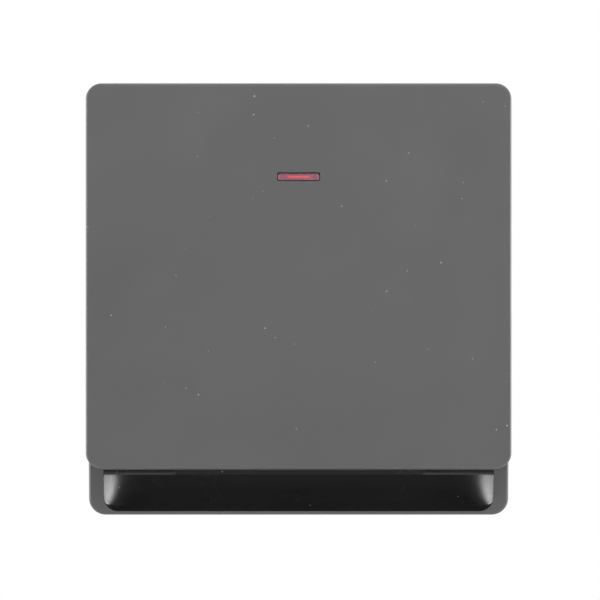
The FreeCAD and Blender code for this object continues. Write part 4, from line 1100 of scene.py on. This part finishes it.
def place_floor(height):
    """Level floor, one quad."""
    side, back = 0.9, 0.75
    mesh = bpy.data.meshes.new("Floor")
    mesh.from_pydata([[-side, -side, height], [side, -side, height], [side, back, height],
                      [-side, back, height]], [], [[0, 1, 2, 3]])
    mesh.materials.append(floor_material())
    floor = new_object("Floor", mesh)


def studio_world(studio):
    """Surrounding light: white to the camera, and otherwise dim in front and bright behind,
    with a level of its own for glossy faces."""
    world = bpy.data.worlds.new("Studio")
    world.use_nodes = True
    world.node_tree.nodes.clear()
    board = Board(world.node_tree)
    way = board.add("SeparateXYZ", Vector=board.add("TexCoord").outputs["Generated"])
    path = board.add("LightPath").outputs
    glossy = board.span(way.outputs[1], *HORIZON, studio.front_glow, 1.0)
    diffuse = board.span(way.outputs[1], *HORIZON, studio.ambient, BACK_LIGHT)
    seen = board.maths("MAXIMUM", path["Is Camera Ray"], path["Is Transmission Ray"])
    level = diffuse
    for share, other in ((path["Is Glossy Ray"], glossy), (seen, 1.0)):
        mixed = board.add("Mix")
        for number, value in ((0, share), (2, level), (3, other)):
            board.put(mixed.inputs[number], value)
        level = mixed.outputs[0]
    light = board.add("Background", Color=WHITE, Strength=level)
    board.add("OutputWorld", Surface=light.outputs[0])
    return world


class SWITCH_OT_studio(Operator):
    """Sets the camera, the lamps, the floor and the surrounding light"""

    bl_idname = "switch.studio"
    bl_label = "Studio"

    def execute(self, context):
        studio = context.scene.switch_studio
        place_camera(studio)
        for values in LAMPS:
            place_lamp(*values)
        place_floor(studio.floor_drop)
        context.scene.world = studio_world(studio)
        context.scene.view_settings.view_transform = "Standard"
        return {"FINISHED"}


OPERATORS = (
    SWITCH_OT_studio, SWITCH_OT_frame, SWITCH_OT_recess, SWITCH_OT_rocker, SWITCH_OT_lens,
    SWITCH_OT_carrier, SWITCH_OT_housing, SWITCH_OT_cradle, SWITCH_OT_springs,
    SWITCH_OT_contacts, SWITCH_OT_terminals, SWITCH_OT_screws, SWITCH_OT_indicator,
)
SETTINGS = {
    "switch_mouldings": MouldingSettings, "switch_recess": RecessSettings,
    "switch_lens": LensSettings, "switch_metals": MetalSettings,
    "switch_studio": StudioSettings,
}


class SWITCH_PT_panel(Panel):
    """Lists the settings and the steps that build the switch"""

    bl_idname = "SWITCH_PT_panel"
    bl_label = "Rocker Switch"
    bl_space_type = "VIEW_3D"
    bl_region_type = "UI"
    bl_category = "Rocker Switch"

    def draw(self, context):
        for name, group in SETTINGS.items():
            box = self.layout.box()
            box.label(text=group.__doc__)
            for key in group.__annotations__:
                box.prop(getattr(context.scene, name), key)
        for operator in OPERATORS:
            self.layout.operator(operator.bl_idname)


def register():
    """Registers the settings, the operators and the panel."""
    for name, group in SETTINGS.items():
        bpy.utils.register_class(group)
        setattr(bpy.types.Scene, name, PointerProperty(type=group))
    for item in OPERATORS + (SWITCH_PT_panel,):
        bpy.utils.register_class(item)


def unregister():
    """Takes back what register did."""
    for item in (SWITCH_PT_panel,) + OPERATORS[::-1]:
        bpy.utils.unregister_class(item)
    for name, group in SETTINGS.items():
        delattr(bpy.types.Scene, name)
        bpy.utils.unregister_class(group)


def main():
    """Builds the whole switch in order."""
    register()
    for operator in OPERATORS:
        group, name = operator.bl_idname.split(".")
        getattr(getattr(bpy.ops, group), name)()


if __name__ == "__main__":
    main()
